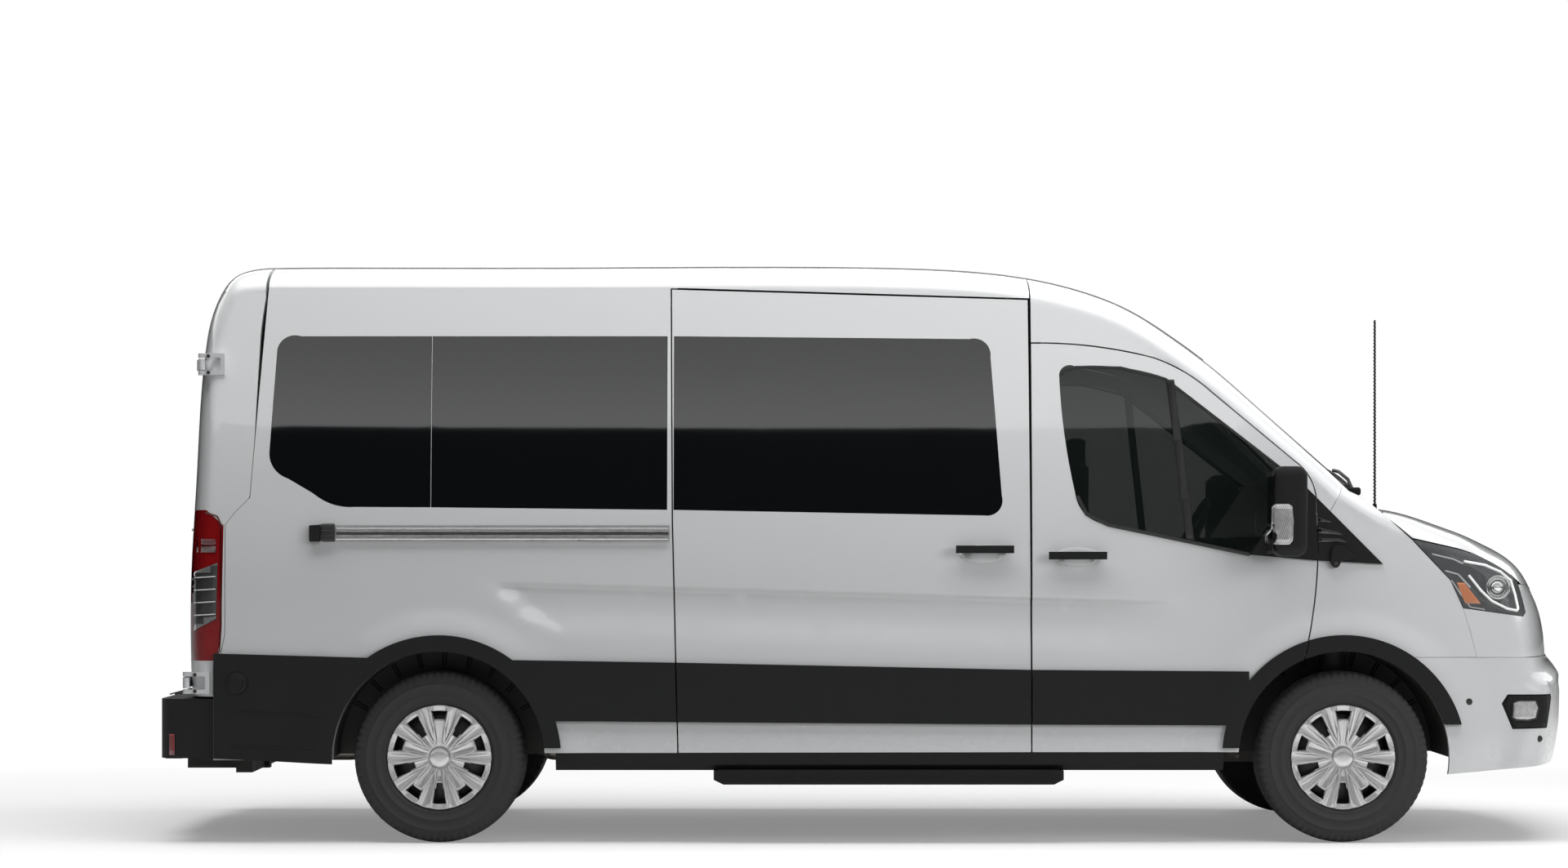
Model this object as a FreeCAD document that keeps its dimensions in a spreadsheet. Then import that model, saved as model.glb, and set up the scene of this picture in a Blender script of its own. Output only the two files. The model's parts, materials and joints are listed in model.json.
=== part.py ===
import FreeCAD, Part
import math
import os
import re

import Sketcher
from FreeCAD import Placement, Rotation, Vector

# Long-wheelbase passenger van with a raised roof.
# Frame: +X forward, +Y to the van's left, +Z up, origin on the ground at mid-length.

DOC = FreeCAD.newDocument("minibus")
SHEET = DOC.addObject("Spreadsheet::Sheet", "Sizes")

SIZES = (
    ("body_length", 5981.0),
    ("body_height", 2437.0),
    ("body_half_width", 1012.0),
    ("wheelbase", 3750.0),
    ("rear_overhang", 1208.0),
    ("track_front", 1732.0),
    ("track_rear", 1743.0),
    # Skin rounding: how far the centre crown and the corner round drop from the profile.
    ("roof_crown", 45.0),
    ("roof_round", 85.0),
    ("screen_crown", 75.0),
    ("screen_round", 60.0),
    ("cowl_crown", 20.0),
    ("hood_crown", 48.0),
    ("hood_round", 90.0),
    ("nose_crown", 140.0),
    ("nose_round", 100.0),
    ("tail_crown", 22.0),
    ("tail_round", 88.0),
    ("bumper_crown", 100.0),
    ("belt_height", 1088.0),
    ("lean_in", 140.0),
    ("nose_taper", 29.0),
    ("tail_taper", 12.0),
    # The long hollow pressed into the flank, and the swell over the wheel arches.
    ("hollow_depth", 15.0),
    ("hollow_height", 255.0),
    ("hollow_lip", 26.0),
    ("hollow_end", 100.0),
    ("swell_depth", 12.0),
    ("swell_reach", 130.0),
    # Walls, gaps and clearances.
    ("side_wall", 60.0),
    ("front_door_wall", 90.0),
    ("rear_door_wall", 50.0),
    ("roof_wall", 30.0),
    ("cab_wall", 25.0),
    ("corner_wall", 40.0),
    ("hood_wall", 28.0),
    ("bumper_wall", 25.0),
    ("shut_gap", 6.0),
    ("fit_gap", 0.4),
    ("post_wall", 50.0),
    ("seat_gap", 0.3),
    ("glass_wall", 5.0),
    ("glass_inset", 1.5),
    ("screen_inset", 5.0),
    ("lamp_depth", 90.0),
    ("lamp_inset", 1.0),
    ("overrun", 20.0),
    # Wheels.
    ("tyre_radius", 356.0),
    ("tyre_width", 235.0),
    ("bead_radius", 206.0),
    ("rim_wall", 8.0),
    ("rim_width", 190.0),
    ("cover_radius", 216.0),
    ("cover_wall", 9.0),
    ("cover_recess", 16.0),
    ("cap_radius", 44.0),
    ("cap_rise", 14.0),
    ("window_outer_radius", 192.0),
    ("short_window_inner_radius", 156.0),
    ("long_window_inner_radius", 108.0),
    ("window_width", 46.0),
    ("hub_radius", 80.0),
    ("disc_radius", 150.0),
    ("disc_wall", 26.0),
    ("spindle_radius", 28.0),
    ("spindle_length", 70.0),
    ("bearing_gap", 0.3),
    ("arch_radius", 440.0),
    ("arch_trim_radius", 508.0),
    # Steering and front suspension.
    ("kingpin_offset", 65.0),
    ("upright_length", 110.0),
    ("upright_wall", 40.0),
    ("upright_height", 220.0),
    ("arm_height", 40.0),
    ("strut_radius", 55.0),
    ("strut_inset", 214.0),
    # Frame, floor and running gear.
    ("floor_height", 640.0),
    ("floor_wall", 50.0),
    ("member_length", 1400.0),
    ("rail_spacing", 860.0),
    ("rail_width", 70.0),
    ("rail_height", 120.0),
    ("axle_tube_radius", 48.0),
    ("diff_radius", 140.0),
    ("spring_spacing", 1080.0),
    ("spring_width", 70.0),
    ("spring_wall", 28.0),
    ("spring_length", 1400.0),
    ("shaft_radius", 38.0),
    ("pipe_radius", 32.0),
    ("muffler_radius", 95.0),
    ("muffler_length", 620.0),
    ("tank_length", 980.0),
    ("tank_width", 340.0),
    ("tank_height", 250.0),
    ("engine_length", 620.0),
    ("engine_width", 560.0),
    ("engine_height", 560.0),
    ("gearbox_length", 720.0),
    ("gearbox_width", 330.0),
    ("gearbox_height", 300.0),
    ("receiver_bore", 51.2),
    ("receiver_wall", 6.4),
    ("receiver_depth", 180.0),
    ("receiver_height", 287.0),
    ("liner_wall", 6.0),
    ("liner_inner", 515.0),
    # Side details.
    ("cladding_proud", 18.0),
    ("sill_height", 72.2),
    ("sill_low", 304.0),
    ("sill_depth", 150.0),
    ("board_low", 246.0),
    ("board_width", 170.0),
    ("track_proud", 14.0),
    ("track_low", 1251.0),
    ("track_high", 1318.0),
    ("handle_length", 240.0),
    ("handle_height", 32.0),
    ("handle_proud", 44.0),
    ("handle_wall", 18.0),
    ("mirror_depth", 140.0),
    ("mirror_width", 205.0),
    ("mirror_height", 370.0),
    ("mirror_round", 45.0),
    ("sail_proud", 10.0),
    ("antenna_radius", 4.0),
    ("antenna_height", 860.0),
    ("antenna_base_radius", 16.0),
    ("antenna_base_height", 70.0),
    # Doors.
    ("seam_gap", 10.0),
    ("hinge_low_back", 2828.0),
    ("hinge_low_out", 1006.0),
    ("strap_low_back", 2844.0),
    ("hinge_high_back", 2774.5),
    ("hinge_high_out", 934.0),
    ("strap_high_back", 2801.5),
    ("rear_door_half_width", 812.0),
    ("rear_door_top", 2296.0),
    ("rear_door_low", 600.0),
    ("pin_radius", 5.0),
    ("hood_pin_back", 2175.0),
    ("hood_pin_height", 1384.0),
    ("hood_pin_out", 480.0),
    ("hinge_height", 90.0),
    ("hinge_radius", 14.0),
    ("strap_reach", 740.0),
    ("strap_foot", 100.0),
    ("leaf_reach", 98.0),
    ("leaf_slot", 80.0),
    ("hinge_low", 666.0),
    ("hinge_high", 1988.0),
    # Cabin.
    ("seat_width", 500.0),
    ("seat_cushion_length", 500.0),
    ("seat_cushion_wall", 120.0),
    ("seat_back_wall", 130.0),
    ("seat_back_height", 640.0),
    ("seat_rise", 330.0),
    ("seat_round", 40.0),
    ("head_rest_height", 170.0),
    ("bench_pitch", 870.0),
    ("wheel_rim_radius", 195.0),
    ("wheel_rim_wall", 16.0),
    ("column_length", 150.0),
    ("driver_side", 460.0),
)


def fill_sheet(rows):
    """Write each size into its own cell of the sheet, under its own name."""
    for number, (name, value) in enumerate(rows, start=1):
        SHEET.set("A%d" % number, name)
        SHEET.set("B%d" % number, repr(value))
        SHEET.setAlias("B%d" % number, name)
    DOC.recompute()


fill_sheet(SIZES)


class Sizes:
    """The sheet's values by name, in millimetres."""

    def __getattr__(self, name):
        return float(SHEET.get(name))

    @property
    def front_axle(self):
        return self.wheelbase + self.rear_overhang - self.body_length / 2

    @property
    def rear_axle(self):
        return self.rear_overhang - self.body_length / 2


size = Sizes()
FRONT_AXLE = "(wheelbase + rear_overhang - body_length / 2)"
REAR_AXLE = "(rear_overhang - body_length / 2)"
NAMES = re.compile("|".join(sorted((name for name, _ in SIZES), key=len, reverse=True)))
NODES = {}


def formula(text):
    """An expression whose size names point at the sheet."""
    return NAMES.sub(lambda match: "Sizes." + match.group(), text)


def worked_out(rule):
    """The value of a sheet expression, from a spare cell."""
    SHEET.set("D1", "=" + rule)
    SHEET.recompute()
    return float(SHEET.get("D1"))


def bind(obj, **rules):
    """Tie properties of a document object to the sheet; X, Y and Z mean its place."""
    for prop, rule in rules.items():
        path = "Placement.Base." + prop.lower() if prop in ("X", "Y", "Z") else prop
        obj.setExpression(path, formula(rule))
    return obj


def node(name, obj):
    """Register a finished sub-part under the name of its file."""
    obj.Label = name
    NODES[name] = obj
    return obj


def feature(name, shape):
    """A document object that holds a shape worked out from the sheet's values."""
    obj = DOC.addObject("Part::Feature", name)
    obj.Shape = shape
    return obj


def box(name, Length, Width, Height, X, Y, Z):
    return bind(DOC.addObject("Part::Box", name), Length=Length, Width=Width, Height=Height, X=X, Y=Y, Z=Z)


TURNS = {
    "X": Rotation(Vector(0, 1, 0), 90),
    "Y": Rotation(Vector(1, 0, 0), -90),
    "Z": Rotation(),
}


def rod(name, along, Radius, Height, X, Y, Z):
    """A cylinder that starts at a point and runs along a positive axis."""
    obj = DOC.addObject("Part::Cylinder", name)
    obj.Placement = Placement(Vector(), TURNS[along])
    return bind(obj, Radius=Radius, Height=Height, X=X, Y=Y, Z=Z)


def fuse(name, *parts):
    obj = DOC.addObject("Part::MultiFuse", name)
    obj.Shapes = list(parts)
    return obj


def cut(name, base, tool):
    obj = DOC.addObject("Part::Cut", name)
    obj.Base = base
    obj.Tool = tool
    return obj


def group(name, *parts):
    obj = DOC.addObject("Part::Compound", name)
    obj.Links = list(parts)
    return obj


def mirrored(name, source):
    """The same piece on the other side of the van."""
    obj = DOC.addObject("Part::Mirroring", name)
    obj.Source = source
    obj.Normal = Vector(0, 1, 0)
    obj.Base = Vector()
    return obj


# Centreline profiles in the side view, as shares of the length and of the height.
UPPER_SHARES = (
    (-0.4765, 0.2298), (-0.4785, 0.3693), (-0.4778, 0.4719), (-0.4748, 0.6155),
    (-0.4707, 0.8166), (-0.4665, 0.8945), (-0.4598, 0.9520), (-0.4514, 0.9807),
    (-0.4381, 0.9951), (-0.4180, 0.9994), (-0.3700, 1.0000), (-0.2000, 1.0000),
    (0.0000, 1.0000), (0.0401, 0.9975), (0.0986, 0.9869), (0.1572, 0.9569),
    (0.1873, 0.9285), (0.2190, 0.8814), (0.2480, 0.8293), (0.2767, 0.7686),
    (0.3055, 0.7058), (0.3342, 0.6430), (0.3645, 0.5745), (0.3900, 0.5150),
)
LOWER_SHARES = (
    (0.3400, 0.5790), (0.3595, 0.5737), (0.3740, 0.5692), (0.3887, 0.5613),
    (0.4033, 0.5506), (0.4180, 0.5384), (0.4327, 0.5254), (0.4476, 0.5105),
    (0.4623, 0.4922), (0.4707, 0.4755), (0.4773, 0.4534), (0.4824, 0.4288),
    (0.4865, 0.4042), (0.4894, 0.3775), (0.4912, 0.3488), (0.4919, 0.3080),
)
WING_SHARES = (
    (0.2480, 0.8293), (0.2767, 0.7686), (0.3055, 0.7058), (0.3300, 0.6520), (0.3500, 0.6130),
    (0.3680, 0.5860), (0.3870, 0.5670), (0.4033, 0.5530), (0.4180, 0.5390), (0.4327, 0.5254),
    (0.4476, 0.5105), (0.4623, 0.4922),
)
BUMPER_SHARES = (
    (0.4905, 0.3160), (0.4945, 0.3100), (0.4975, 0.2980), (0.4992, 0.2800), (0.5000, 0.2600),
    (0.5000, 0.2300), (0.4995, 0.2010), (0.4980, 0.1720), (0.4960, 0.1450),
    (0.4930, 0.1160), (0.4910, 0.1000),
)
LEAN_POWER = 1.6
CREASE_SHARES = ((-0.2675, 0.4477), (0.2411, 0.4116))
HOLLOW_BACK_SHARE = -0.2675
HOLLOW_FRONT_SHARES = (0.1450, 0.2450)


def at(share):
    """A point of the side view from its shares of the length and height."""
    return Vector(share[0] * size.body_length, 0, share[1] * size.body_height)


def blend(value, low, high):
    """A smooth step from 0 to 1 between two places."""
    part = min(1.0, max(0.0, (value - low) / (high - low)))
    return part * part * (3 - 2 * part)


def crease_height(x):
    """Height of the crease that runs along the top of the flank's hollow."""
    (back, high), (front, low) = CREASE_SHARES
    return (high + (low - high) * (x / size.body_length - back) / (front - back)) * size.body_height


def relief(x, z):
    """How far the flank is pressed in at a place; less than nothing over the arches."""
    below = crease_height(x) - z
    pressed = (size.hollow_depth * blend(below, 0, size.hollow_lip)
               * (1 - blend(below, size.hollow_height / 3, size.hollow_height)))
    back = HOLLOW_BACK_SHARE * size.body_length + max(0.0, below)
    fade, front = [share * size.body_length for share in HOLLOW_FRONT_SHARES]
    pressed *= blend(x, back, back + size.hollow_end) * (1 - blend(x, fade, front))
    for axle in (size.front_axle, size.rear_axle):
        away = math.hypot(x - axle, z - size.tyre_radius) - size.arch_trim_radius
        pressed -= size.swell_depth * (1 - blend(away, 0, size.swell_reach))
    return pressed


def half_width(x, z):
    """Half the body's width on its flank, with lean-in, tapers, the hollow and the swells."""
    rise = max(0.0, z - size.belt_height) / (size.body_height - size.belt_height)
    mid = size.body_length / 2
    door = size.front_axle / 3
    nose = max(0.0, x - door) / (size.front_axle - door)
    tail = max(0.0, size.rear_axle - x) / (mid + size.rear_axle)
    return (size.body_half_width - size.lean_in * rise ** LEAN_POWER
            - size.nose_taper * nose ** 2 - size.tail_taper * tail ** 2 - relief(x, z))


class Profile:
    """A centreline curve and the way the skin rounds away from it towards the flank."""

    def __init__(self, shares, rounding):
        self.curve = Part.BSplineCurve()
        self.curve.interpolate([at(share) for share in shares])
        self.rounding = rounding

    def point(self, t):
        return self.curve.value(self.curve.FirstParameter
                                + t * (self.curve.LastParameter - self.curve.FirstParameter))

    def height(self, x):
        """The profile's height over a place along the van, where it has only one."""
        low, high = 0.0, 1.0
        for _ in range(BISECTIONS):
            middle = (low + high) / 2
            if self.point(middle).x < x:
                low = middle
            else:
                high = middle
        return self.point(low).z

    def depth(self, place):
        """How far a side-view point lies inside the profile, and the rounding there."""
        t = self.curve.parameter(place)
        near = self.curve.value(t)
        along = self.curve.tangent(t)[0]
        inward = Vector(along.z, 0, -along.x)
        gap = place.sub(near)
        side = 1 if gap.dot(inward) > 0 else -1
        return side * gap.Length, self.rounding(near)

    def across(self, place):
        """The share of the half-width that the skin has at a side-view point."""
        depth, (crown, corner, power) = self.depth(place)
        if depth >= crown + corner:
            return 1.0
        if depth <= 0:
            return 0.0
        low, high = 0.0, 1.0
        for _ in range(BISECTIONS):
            middle = (low + high) / 2
            if drop(middle, crown, corner, power) < depth:
                low = middle
            else:
                high = middle
        return (low + high) / 2


BISECTIONS = 22
CUBIC = 3


def drop(across, crown, corner, power):
    """How far below its centre crown the skin lies at a share of the half-width."""
    return crown * across ** 2 + corner * (1 - math.sqrt(max(0.0, 1 - across ** power)))


def mix(first, second, part):
    return tuple(a + (b - a) * part for a, b in zip(first, second))


def upper_rounding(near):
    roof = (size.roof_crown, size.roof_round, 6)
    if near.x < 0:
        tail = (size.tail_crown, size.tail_round, 8)
        return mix(tail, roof, blend(near.z, 0.88 * size.body_height, 0.995 * size.body_height))
    screen = (size.screen_crown, size.screen_round, 8)
    return mix(roof, screen, blend(near.x, 0.10 * size.body_length, 0.25 * size.body_length))


def lower_rounding(near):
    cowl = (size.cowl_crown, size.hood_round, 7)
    hood = (size.hood_crown, size.hood_round, 5)
    nose = (size.nose_crown, size.nose_round, 4)
    back = mix(cowl, hood, blend(near.x, 0.36 * size.body_length, 0.42 * size.body_length))
    return mix(back, nose, blend(near.x, 0.42 * size.body_length, 0.48 * size.body_length))


def wing_rounding(near):
    screen = (size.screen_crown, size.screen_round, 8)
    return mix(screen, lower_rounding(near), blend(near.x, 0.32 * size.body_length, 0.38 * size.body_length))


def bumper_rounding(near):
    return size.bumper_crown, size.nose_round, 4


UPPER = Profile(UPPER_SHARES, upper_rounding)
LOWER = Profile(LOWER_SHARES, lower_rounding)
WING = Profile(WING_SHARES, wing_rounding)
BUMPER = Profile(BUMPER_SHARES, bumper_rounding)


def wing_width(x, z):
    """The wing's distance from the middle plane over a side-view point."""
    return WING.across(Vector(x, 0, z)) * half_width(x, z)


def lamp_width(x, z):
    return LOWER.across(Vector(x, 0, z)) * half_width(x, z)


def travel(lines):
    """Parameters along a family of point rows, from their average spacing."""
    steps = [sum(a.distanceToPoint(b) for a, b in pairs) / len(pairs)
             for pairs in zip(*[list(zip(line, line[1:])) for line in lines])]
    return [sum(steps[:count]) for count in range(len(steps) + 1)]


def splines(lines, places):
    curves = []
    for line in lines:
        curve = Part.BSplineCurve()
        curve.interpolate(Points=list(line), Parameters=places)
        curves.append(curve)
    return curves


def surface(grid):
    """A smooth surface through a grid of points, with one spacing for each direction."""
    down = travel([list(column) for column in zip(*grid)])
    rows = splines(grid, travel(grid))
    columns = splines(zip(*[row.getPoles() for row in rows]), down)
    sheet = Part.BSplineSurface()
    sheet.buildFromPolesMultsKnots(
        [list(poles) for poles in zip(*[column.getPoles() for column in columns])],
        columns[0].getMultiplicities(), rows[0].getMultiplicities(),
        columns[0].getKnots(), rows[0].getKnots(), False, False, CUBIC, CUBIC)
    return sheet


def spread(low, high, count):
    return [low + (high - low) * index / (count - 1) for index in range(count)]


def flank_face(xs, rows, width):
    """A face of the right flank over columns of x, with its rows of z at each."""
    return surface([[Vector(x, -width(x, z), z) for z in rows(x)] for x in xs]).toShape()


def side_rows(x):
    """Rows of the flank, closer together where they follow the crease."""
    crease = crease_height(x)
    lip = size.hollow_lip
    foot = crease - size.hollow_height
    return (spread(0.10 * size.body_height, foot, 4) + spread(foot, crease - 3 * lip, 5)[1:]
            + spread(crease - 2 * lip, crease + lip, 8)
            + spread(crease + 3 * lip, 0.96 * size.body_height, 8))


def side_columns():
    """Columns of the flank, closer together round the arches and the hollow's ends."""
    marks = ((-0.477, -0.400, 3), (-0.388, -0.180, 16), (-0.160, 0.140, 8), (0.155, 0.335, 11))
    return [share * size.body_length for low, high, count in marks for share in spread(low, high, count)]


ACROSS_STEPS = (0.0, 0.25, 0.5, 0.68, 0.82, 0.92, 1.0)
SKIRT_STEPS = (1.25, 1.5, 1.75, 2.0)


def ray_point(profile, start, end, v):
    """A skin point on the side-view ray from the profile to an end point on the flank."""
    step = end.sub(start)
    crown, corner, power = profile.rounding(start)
    full = crown + corner

    def place(share):
        return Vector(start.x + step.x * share, 0, start.z + step.z * share)

    def reach(depth):
        low, high = 0.0, 1.0
        for _ in range(BISECTIONS):
            middle = (low + high) / 2
            if profile.depth(place(middle))[0] < depth:
                low = middle
            else:
                high = middle
        return (low + high) / 2

    if v <= 1:
        across = math.sin(v * math.pi / 2)
        spot = place(reach(drop(across, crown, corner, power))) if v > 0 else start
    else:
        across = 1.0
        first = reach(full)
        spot = place(first + (1 - first) * (v - 1))
    return Vector(spot.x, -across * half_width(spot.x, spot.z), spot.z)


def cap_grid(profile, starts, ends):
    """Skin points over the full width, a row for each ray from the profile to the flank."""
    rows = []
    for start, end in zip(starts, ends):
        right = [ray_point(profile, start, end, v) for v in ACROSS_STEPS + SKIRT_STEPS]
        left = [Vector(p.x, -p.y, p.z) for p in reversed(right[1:])]
        rows.append(left + right)
    return rows


def inward(grid, row, column):
    """The unit normal of the grid that points into the van."""
    up = grid[min(row + 1, len(grid) - 1)][column].sub(grid[max(row - 1, 0)][column])
    last = len(grid[0]) - 1
    side = grid[row][min(column + 1, last)].sub(grid[row][max(column - 1, 0)])
    normal = up.cross(side).normalize()
    heart = Vector(0, 0, size.belt_height).sub(grid[row][column])
    return normal if normal.dot(heart) > 0 else normal * -1


def slab(grid, outer, inner):
    """A closed wall between two depths below a grid of skin points."""
    skins = []
    for depth in (outer, inner):
        skins.append(surface([[point.add(inward(grid, i, j) * depth) for j, point in enumerate(row)]
                              for i, row in enumerate(grid)]).toShape())
    rims = [Part.makeRuledSurface(*edges) for edges in zip(skins[0].Edges, skins[1].Edges)]
    return Part.makeSolid(Part.makeShell(skins + rims))


def side_face(runs):
    """A flat face in the side view; a run of three points is an arc, of two a line."""
    edges = []
    for run in runs:
        points = [point if isinstance(point, Vector) else at(point) for point in run]
        if len(points) == 3:
            edges.append(Part.Arc(*points).toShape())
        else:
            edges.append(Part.makeLine(*points))
    return Part.Face(Part.Wire(edges))


def closed(*points):
    """Runs of straight lines round an outline."""
    return tuple((points[index], points[(index + 1) % len(points)]) for index in range(len(points)))


def grown(face, by):
    """The same outline, larger all round by a distance, or smaller."""
    return face.makeOffset2D(by)


def across(face, near=0.0, far=None):
    """A prism over a side-view face, from one distance right of the middle to another."""
    far = size.body_half_width * 1.3 if far is None else far
    moved = face.translated(Vector(0, -near, 0))
    return moved.extrude(Vector(0, near - far, 0))


def disc(x, z, radius):
    return Part.Face(Part.Wire(Part.makeCircle(radius, Vector(x, 0, z), Vector(0, 1, 0))))


def on_flank(skin, face, outer, inner):
    """A solid on the right flank over a side-view face, between two depths below the skin."""
    piece = skin.translated(Vector(0, outer, 0)).common(across(face))
    solids = [part.extrude(Vector(0, inner - outer, 0)) for part in piece.Faces]
    result = solids[0] if len(solids) == 1 else solids[0].fuse(solids[1:]).removeSplitter()
    return result


def left_of(shape):
    return shape.mirror(Vector(), Vector(0, 1, 0))


def both(*shapes):
    """The shapes with their twins on the other side."""
    return Part.makeCompound([twin for shape in shapes for twin in (shape, left_of(shape))])


# Skins that the panels are cut from.
SIDE_SKIN = flank_face(side_columns(), side_rows, half_width)
FENDER_SKIN = flank_face(
    spread(0.300 * size.body_length, 0.437 * size.body_length, 20),
    lambda x: spread(0.18 * size.body_height, WING.height(x) - 0.62 * size.hood_round, 24), wing_width)
LAMP_SKIN = flank_face(
    spread(0.374 * size.body_length, 0.4625 * size.body_length, 12),
    lambda x: spread(0.375 * size.body_height,
                     0.5375 * size.body_height - 0.385 * (x - 0.3745 * size.body_length), 10), lamp_width)

# Shut lines and windows in the side view.
SLIDING_DOOR_SHARES = closed(
    (-0.1375, 0.9455), (0.1112, 0.9275), (0.1124, 0.1545), (-0.1324, 0.1535), (-0.1363, 0.5465))
FRONT_DOOR_SHARES = (
    ((0.1124, 0.1545), (0.1124, 0.8523)),
    ((0.1124, 0.8523), (0.1672, 0.8430), (0.1978, 0.8273)),
    ((0.1978, 0.8273), (0.2185, 0.8040), (0.2384, 0.7677)),
    ((0.2384, 0.7677), (0.2951, 0.6512)),
    ((0.2951, 0.6512), (0.3068, 0.6175), (0.3103, 0.5839)),
    ((0.3103, 0.5839), (0.3110, 0.4949)),
    ((0.3110, 0.4949), (0.3082, 0.4020), (0.3015, 0.3172)),
    ((0.3015, 0.3172), (0.2700, 0.1545)),
    ((0.2700, 0.1545), (0.1124, 0.1545)),
)
DOOR_WINDOW_SHARES = (
    ((0.1322, 0.7980), (0.1350, 0.8105), (0.1430, 0.8122)),
    ((0.1430, 0.8122), (0.1750, 0.8105), (0.2068, 0.7923)),
    ((0.2068, 0.7923), (0.2985, 0.6166)),
    ((0.2985, 0.6166), (0.2643, 0.4908)),
    ((0.2643, 0.4908), (0.1661, 0.5424)),
    ((0.1661, 0.5424), (0.1500, 0.5590), (0.1428, 0.5943)),
    ((0.1428, 0.5943), (0.1358, 0.6900), (0.1322, 0.7980)),
)
QUARTER_WINDOW_SHARES = (
    ((-0.3038, 0.8638), (-0.3950, 0.8638)),
    ((-0.3950, 0.8638), (-0.4070, 0.8590), (-0.4114, 0.8416)),
    ((-0.4114, 0.8416), (-0.4159, 0.6634)),
    ((-0.4159, 0.6634), (-0.4120, 0.6360), (-0.4030, 0.6210)),
    ((-0.4030, 0.6210), (-0.3850, 0.5950)),
    ((-0.3850, 0.5950), (-0.3720, 0.5770), (-0.3560, 0.5722)),
    ((-0.3560, 0.5722), (-0.3038, 0.5716)),
    ((-0.3038, 0.5716), (-0.3038, 0.8638)),
)
MIDDLE_WINDOW_SHARES = closed((-0.3034, 0.8638), (-0.1400, 0.8638), (-0.1400, 0.5674), (-0.3034, 0.5716))
DOOR_BAND_WINDOW_SHARES = (
    ((-0.1355, 0.8638), (0.0700, 0.8590)),
    ((0.0700, 0.8590), (0.0812, 0.8520), (0.0845, 0.8277)),
    ((0.0845, 0.8277), (0.0918, 0.5911)),
    ((0.0918, 0.5911), (0.0892, 0.5650), (0.0800, 0.5577)),
    ((0.0800, 0.5577), (-0.1355, 0.5672)),
    ((-0.1355, 0.5672), (-0.1355, 0.8638)),
)
HEAD_LAMP_SHARES = (
    ((0.3775, 0.5170), (0.4083, 0.5005)),
    ((0.4083, 0.5005), (0.4330, 0.4800), (0.4528, 0.4529)),
    ((0.4528, 0.4529), (0.4562, 0.4400)),
    ((0.4562, 0.4400), (0.4585, 0.3927)),
    ((0.4585, 0.3927), (0.4560, 0.3857)),
    ((0.4560, 0.3857), (0.4129, 0.4004)),
    ((0.4129, 0.4004), (0.4034, 0.4473)),
    ((0.4034, 0.4473), (0.3998, 0.4593)),
    ((0.3998, 0.4593), (0.3775, 0.5170)),
)
TAIL_LAMP_SHARES = closed(
    (-0.4760, 0.5669), (-0.4593, 0.5669), (-0.4472, 0.5410), (-0.4485, 0.3653),
    (-0.4517, 0.3110), (-0.4850, 0.3110), (-0.4850, 0.5669))
HOOD_EDGE_SHARES = (
    (0.3560, 0.5665), (0.3775, 0.5190), (0.4083, 0.5025), (0.4340, 0.4815), (0.4545, 0.4520),
    (0.4600, 0.4395), (0.4950, 0.4395))
SAIL_SHARES = closed((0.2996, 0.6147), (0.3563, 0.4750), (0.3096, 0.4811), (0.2639, 0.4909))
ROOF_JOINT_SHARES = ((-0.4180, 0.9479), (-0.1385, 0.9477), (0.1118, 0.9294))
QUARTER_EDGE_SHARES = (
    (-0.4180, 0.9479), (-0.4289, 0.5883), (-0.4391, 0.5632), (-0.4459, 0.5420), (-0.4459, 0.3560),
    (-0.4500, 0.3090), (-0.4540, 0.3090), (-0.4540, 0.1420), (-0.3000, 0.1420), (-0.3000, 0.1545),
    (0.1118, 0.1545),
)
DOORWAY_SHARES = ((-0.1330, 0.96), (0.13, 0.96), (0.13, 0.10), (-0.1330, 0.10))

ARCH_FRONT = disc(size.front_axle, size.tyre_radius, size.arch_radius)
ARCH_REAR = disc(size.rear_axle, size.tyre_radius, size.arch_radius)


def half_gap(runs):
    """The two edges of a shut line: what is inside it, and the opening round that."""
    face = side_face(runs)
    return grown(face, -size.shut_gap / 2), grown(face, size.shut_gap / 2)


SLIDING_INSIDE, SLIDING_HOLE = half_gap(SLIDING_DOOR_SHARES)
FRONT_INSIDE, FRONT_HOLE = half_gap(FRONT_DOOR_SHARES)


def glass_and_hole(runs):
    face = side_face(runs)
    return face, grown(face, size.fit_gap)


QUARTER_GLASS, QUARTER_HOLE = glass_and_hole(QUARTER_WINDOW_SHARES)
MIDDLE_GLASS, MIDDLE_HOLE = glass_and_hole(MIDDLE_WINDOW_SHARES)
BAND_GLASS, BAND_HOLE = glass_and_hole(DOOR_BAND_WINDOW_SHARES)
DOOR_GLASS, DOOR_GLASS_HOLE = glass_and_hole(DOOR_WINDOW_SHARES)
LAMP_FACE, LAMP_HOLE = glass_and_hole(HEAD_LAMP_SHARES)
TAIL_FACE, TAIL_HOLE = glass_and_hole(TAIL_LAMP_SHARES)


def side_panels():
    """The fixed flanks: behind the sliding door on the right, up to the front door on the left."""
    outline = side_face(closed(*QUARTER_EDGE_SHARES, *ROOF_JOINT_SHARES[:0:-1]))
    rear = outline.cut([ARCH_REAR, QUARTER_HOLE, MIDDLE_HOLE])
    right = rear.cut(SLIDING_HOLE.fuse(side_face(closed(*DOORWAY_SHARES))))
    left = rear.cut(BAND_HOLE)
    right_panel = on_flank(SIDE_SKIN, right, 0, size.side_wall)
    left_panel = left_of(on_flank(SIDE_SKIN, left, 0, size.side_wall))
    return Part.makeCompound([right_panel, left_panel])


def glass(skin, face):
    return on_flank(skin, face, size.glass_inset, size.glass_inset + size.glass_wall)


node("side_panels", feature("side_panels", side_panels()))
node("sliding_door", feature("sliding_door", on_flank(
    SIDE_SKIN, SLIDING_INSIDE.cut(BAND_HOLE), 0, size.side_wall)))
SIDE_PANES = [glass(SIDE_SKIN, face) for face in (QUARTER_GLASS, MIDDLE_GLASS, BAND_GLASS)]
node("side_glass", feature("side_glass", both(*SIDE_PANES)))


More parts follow.
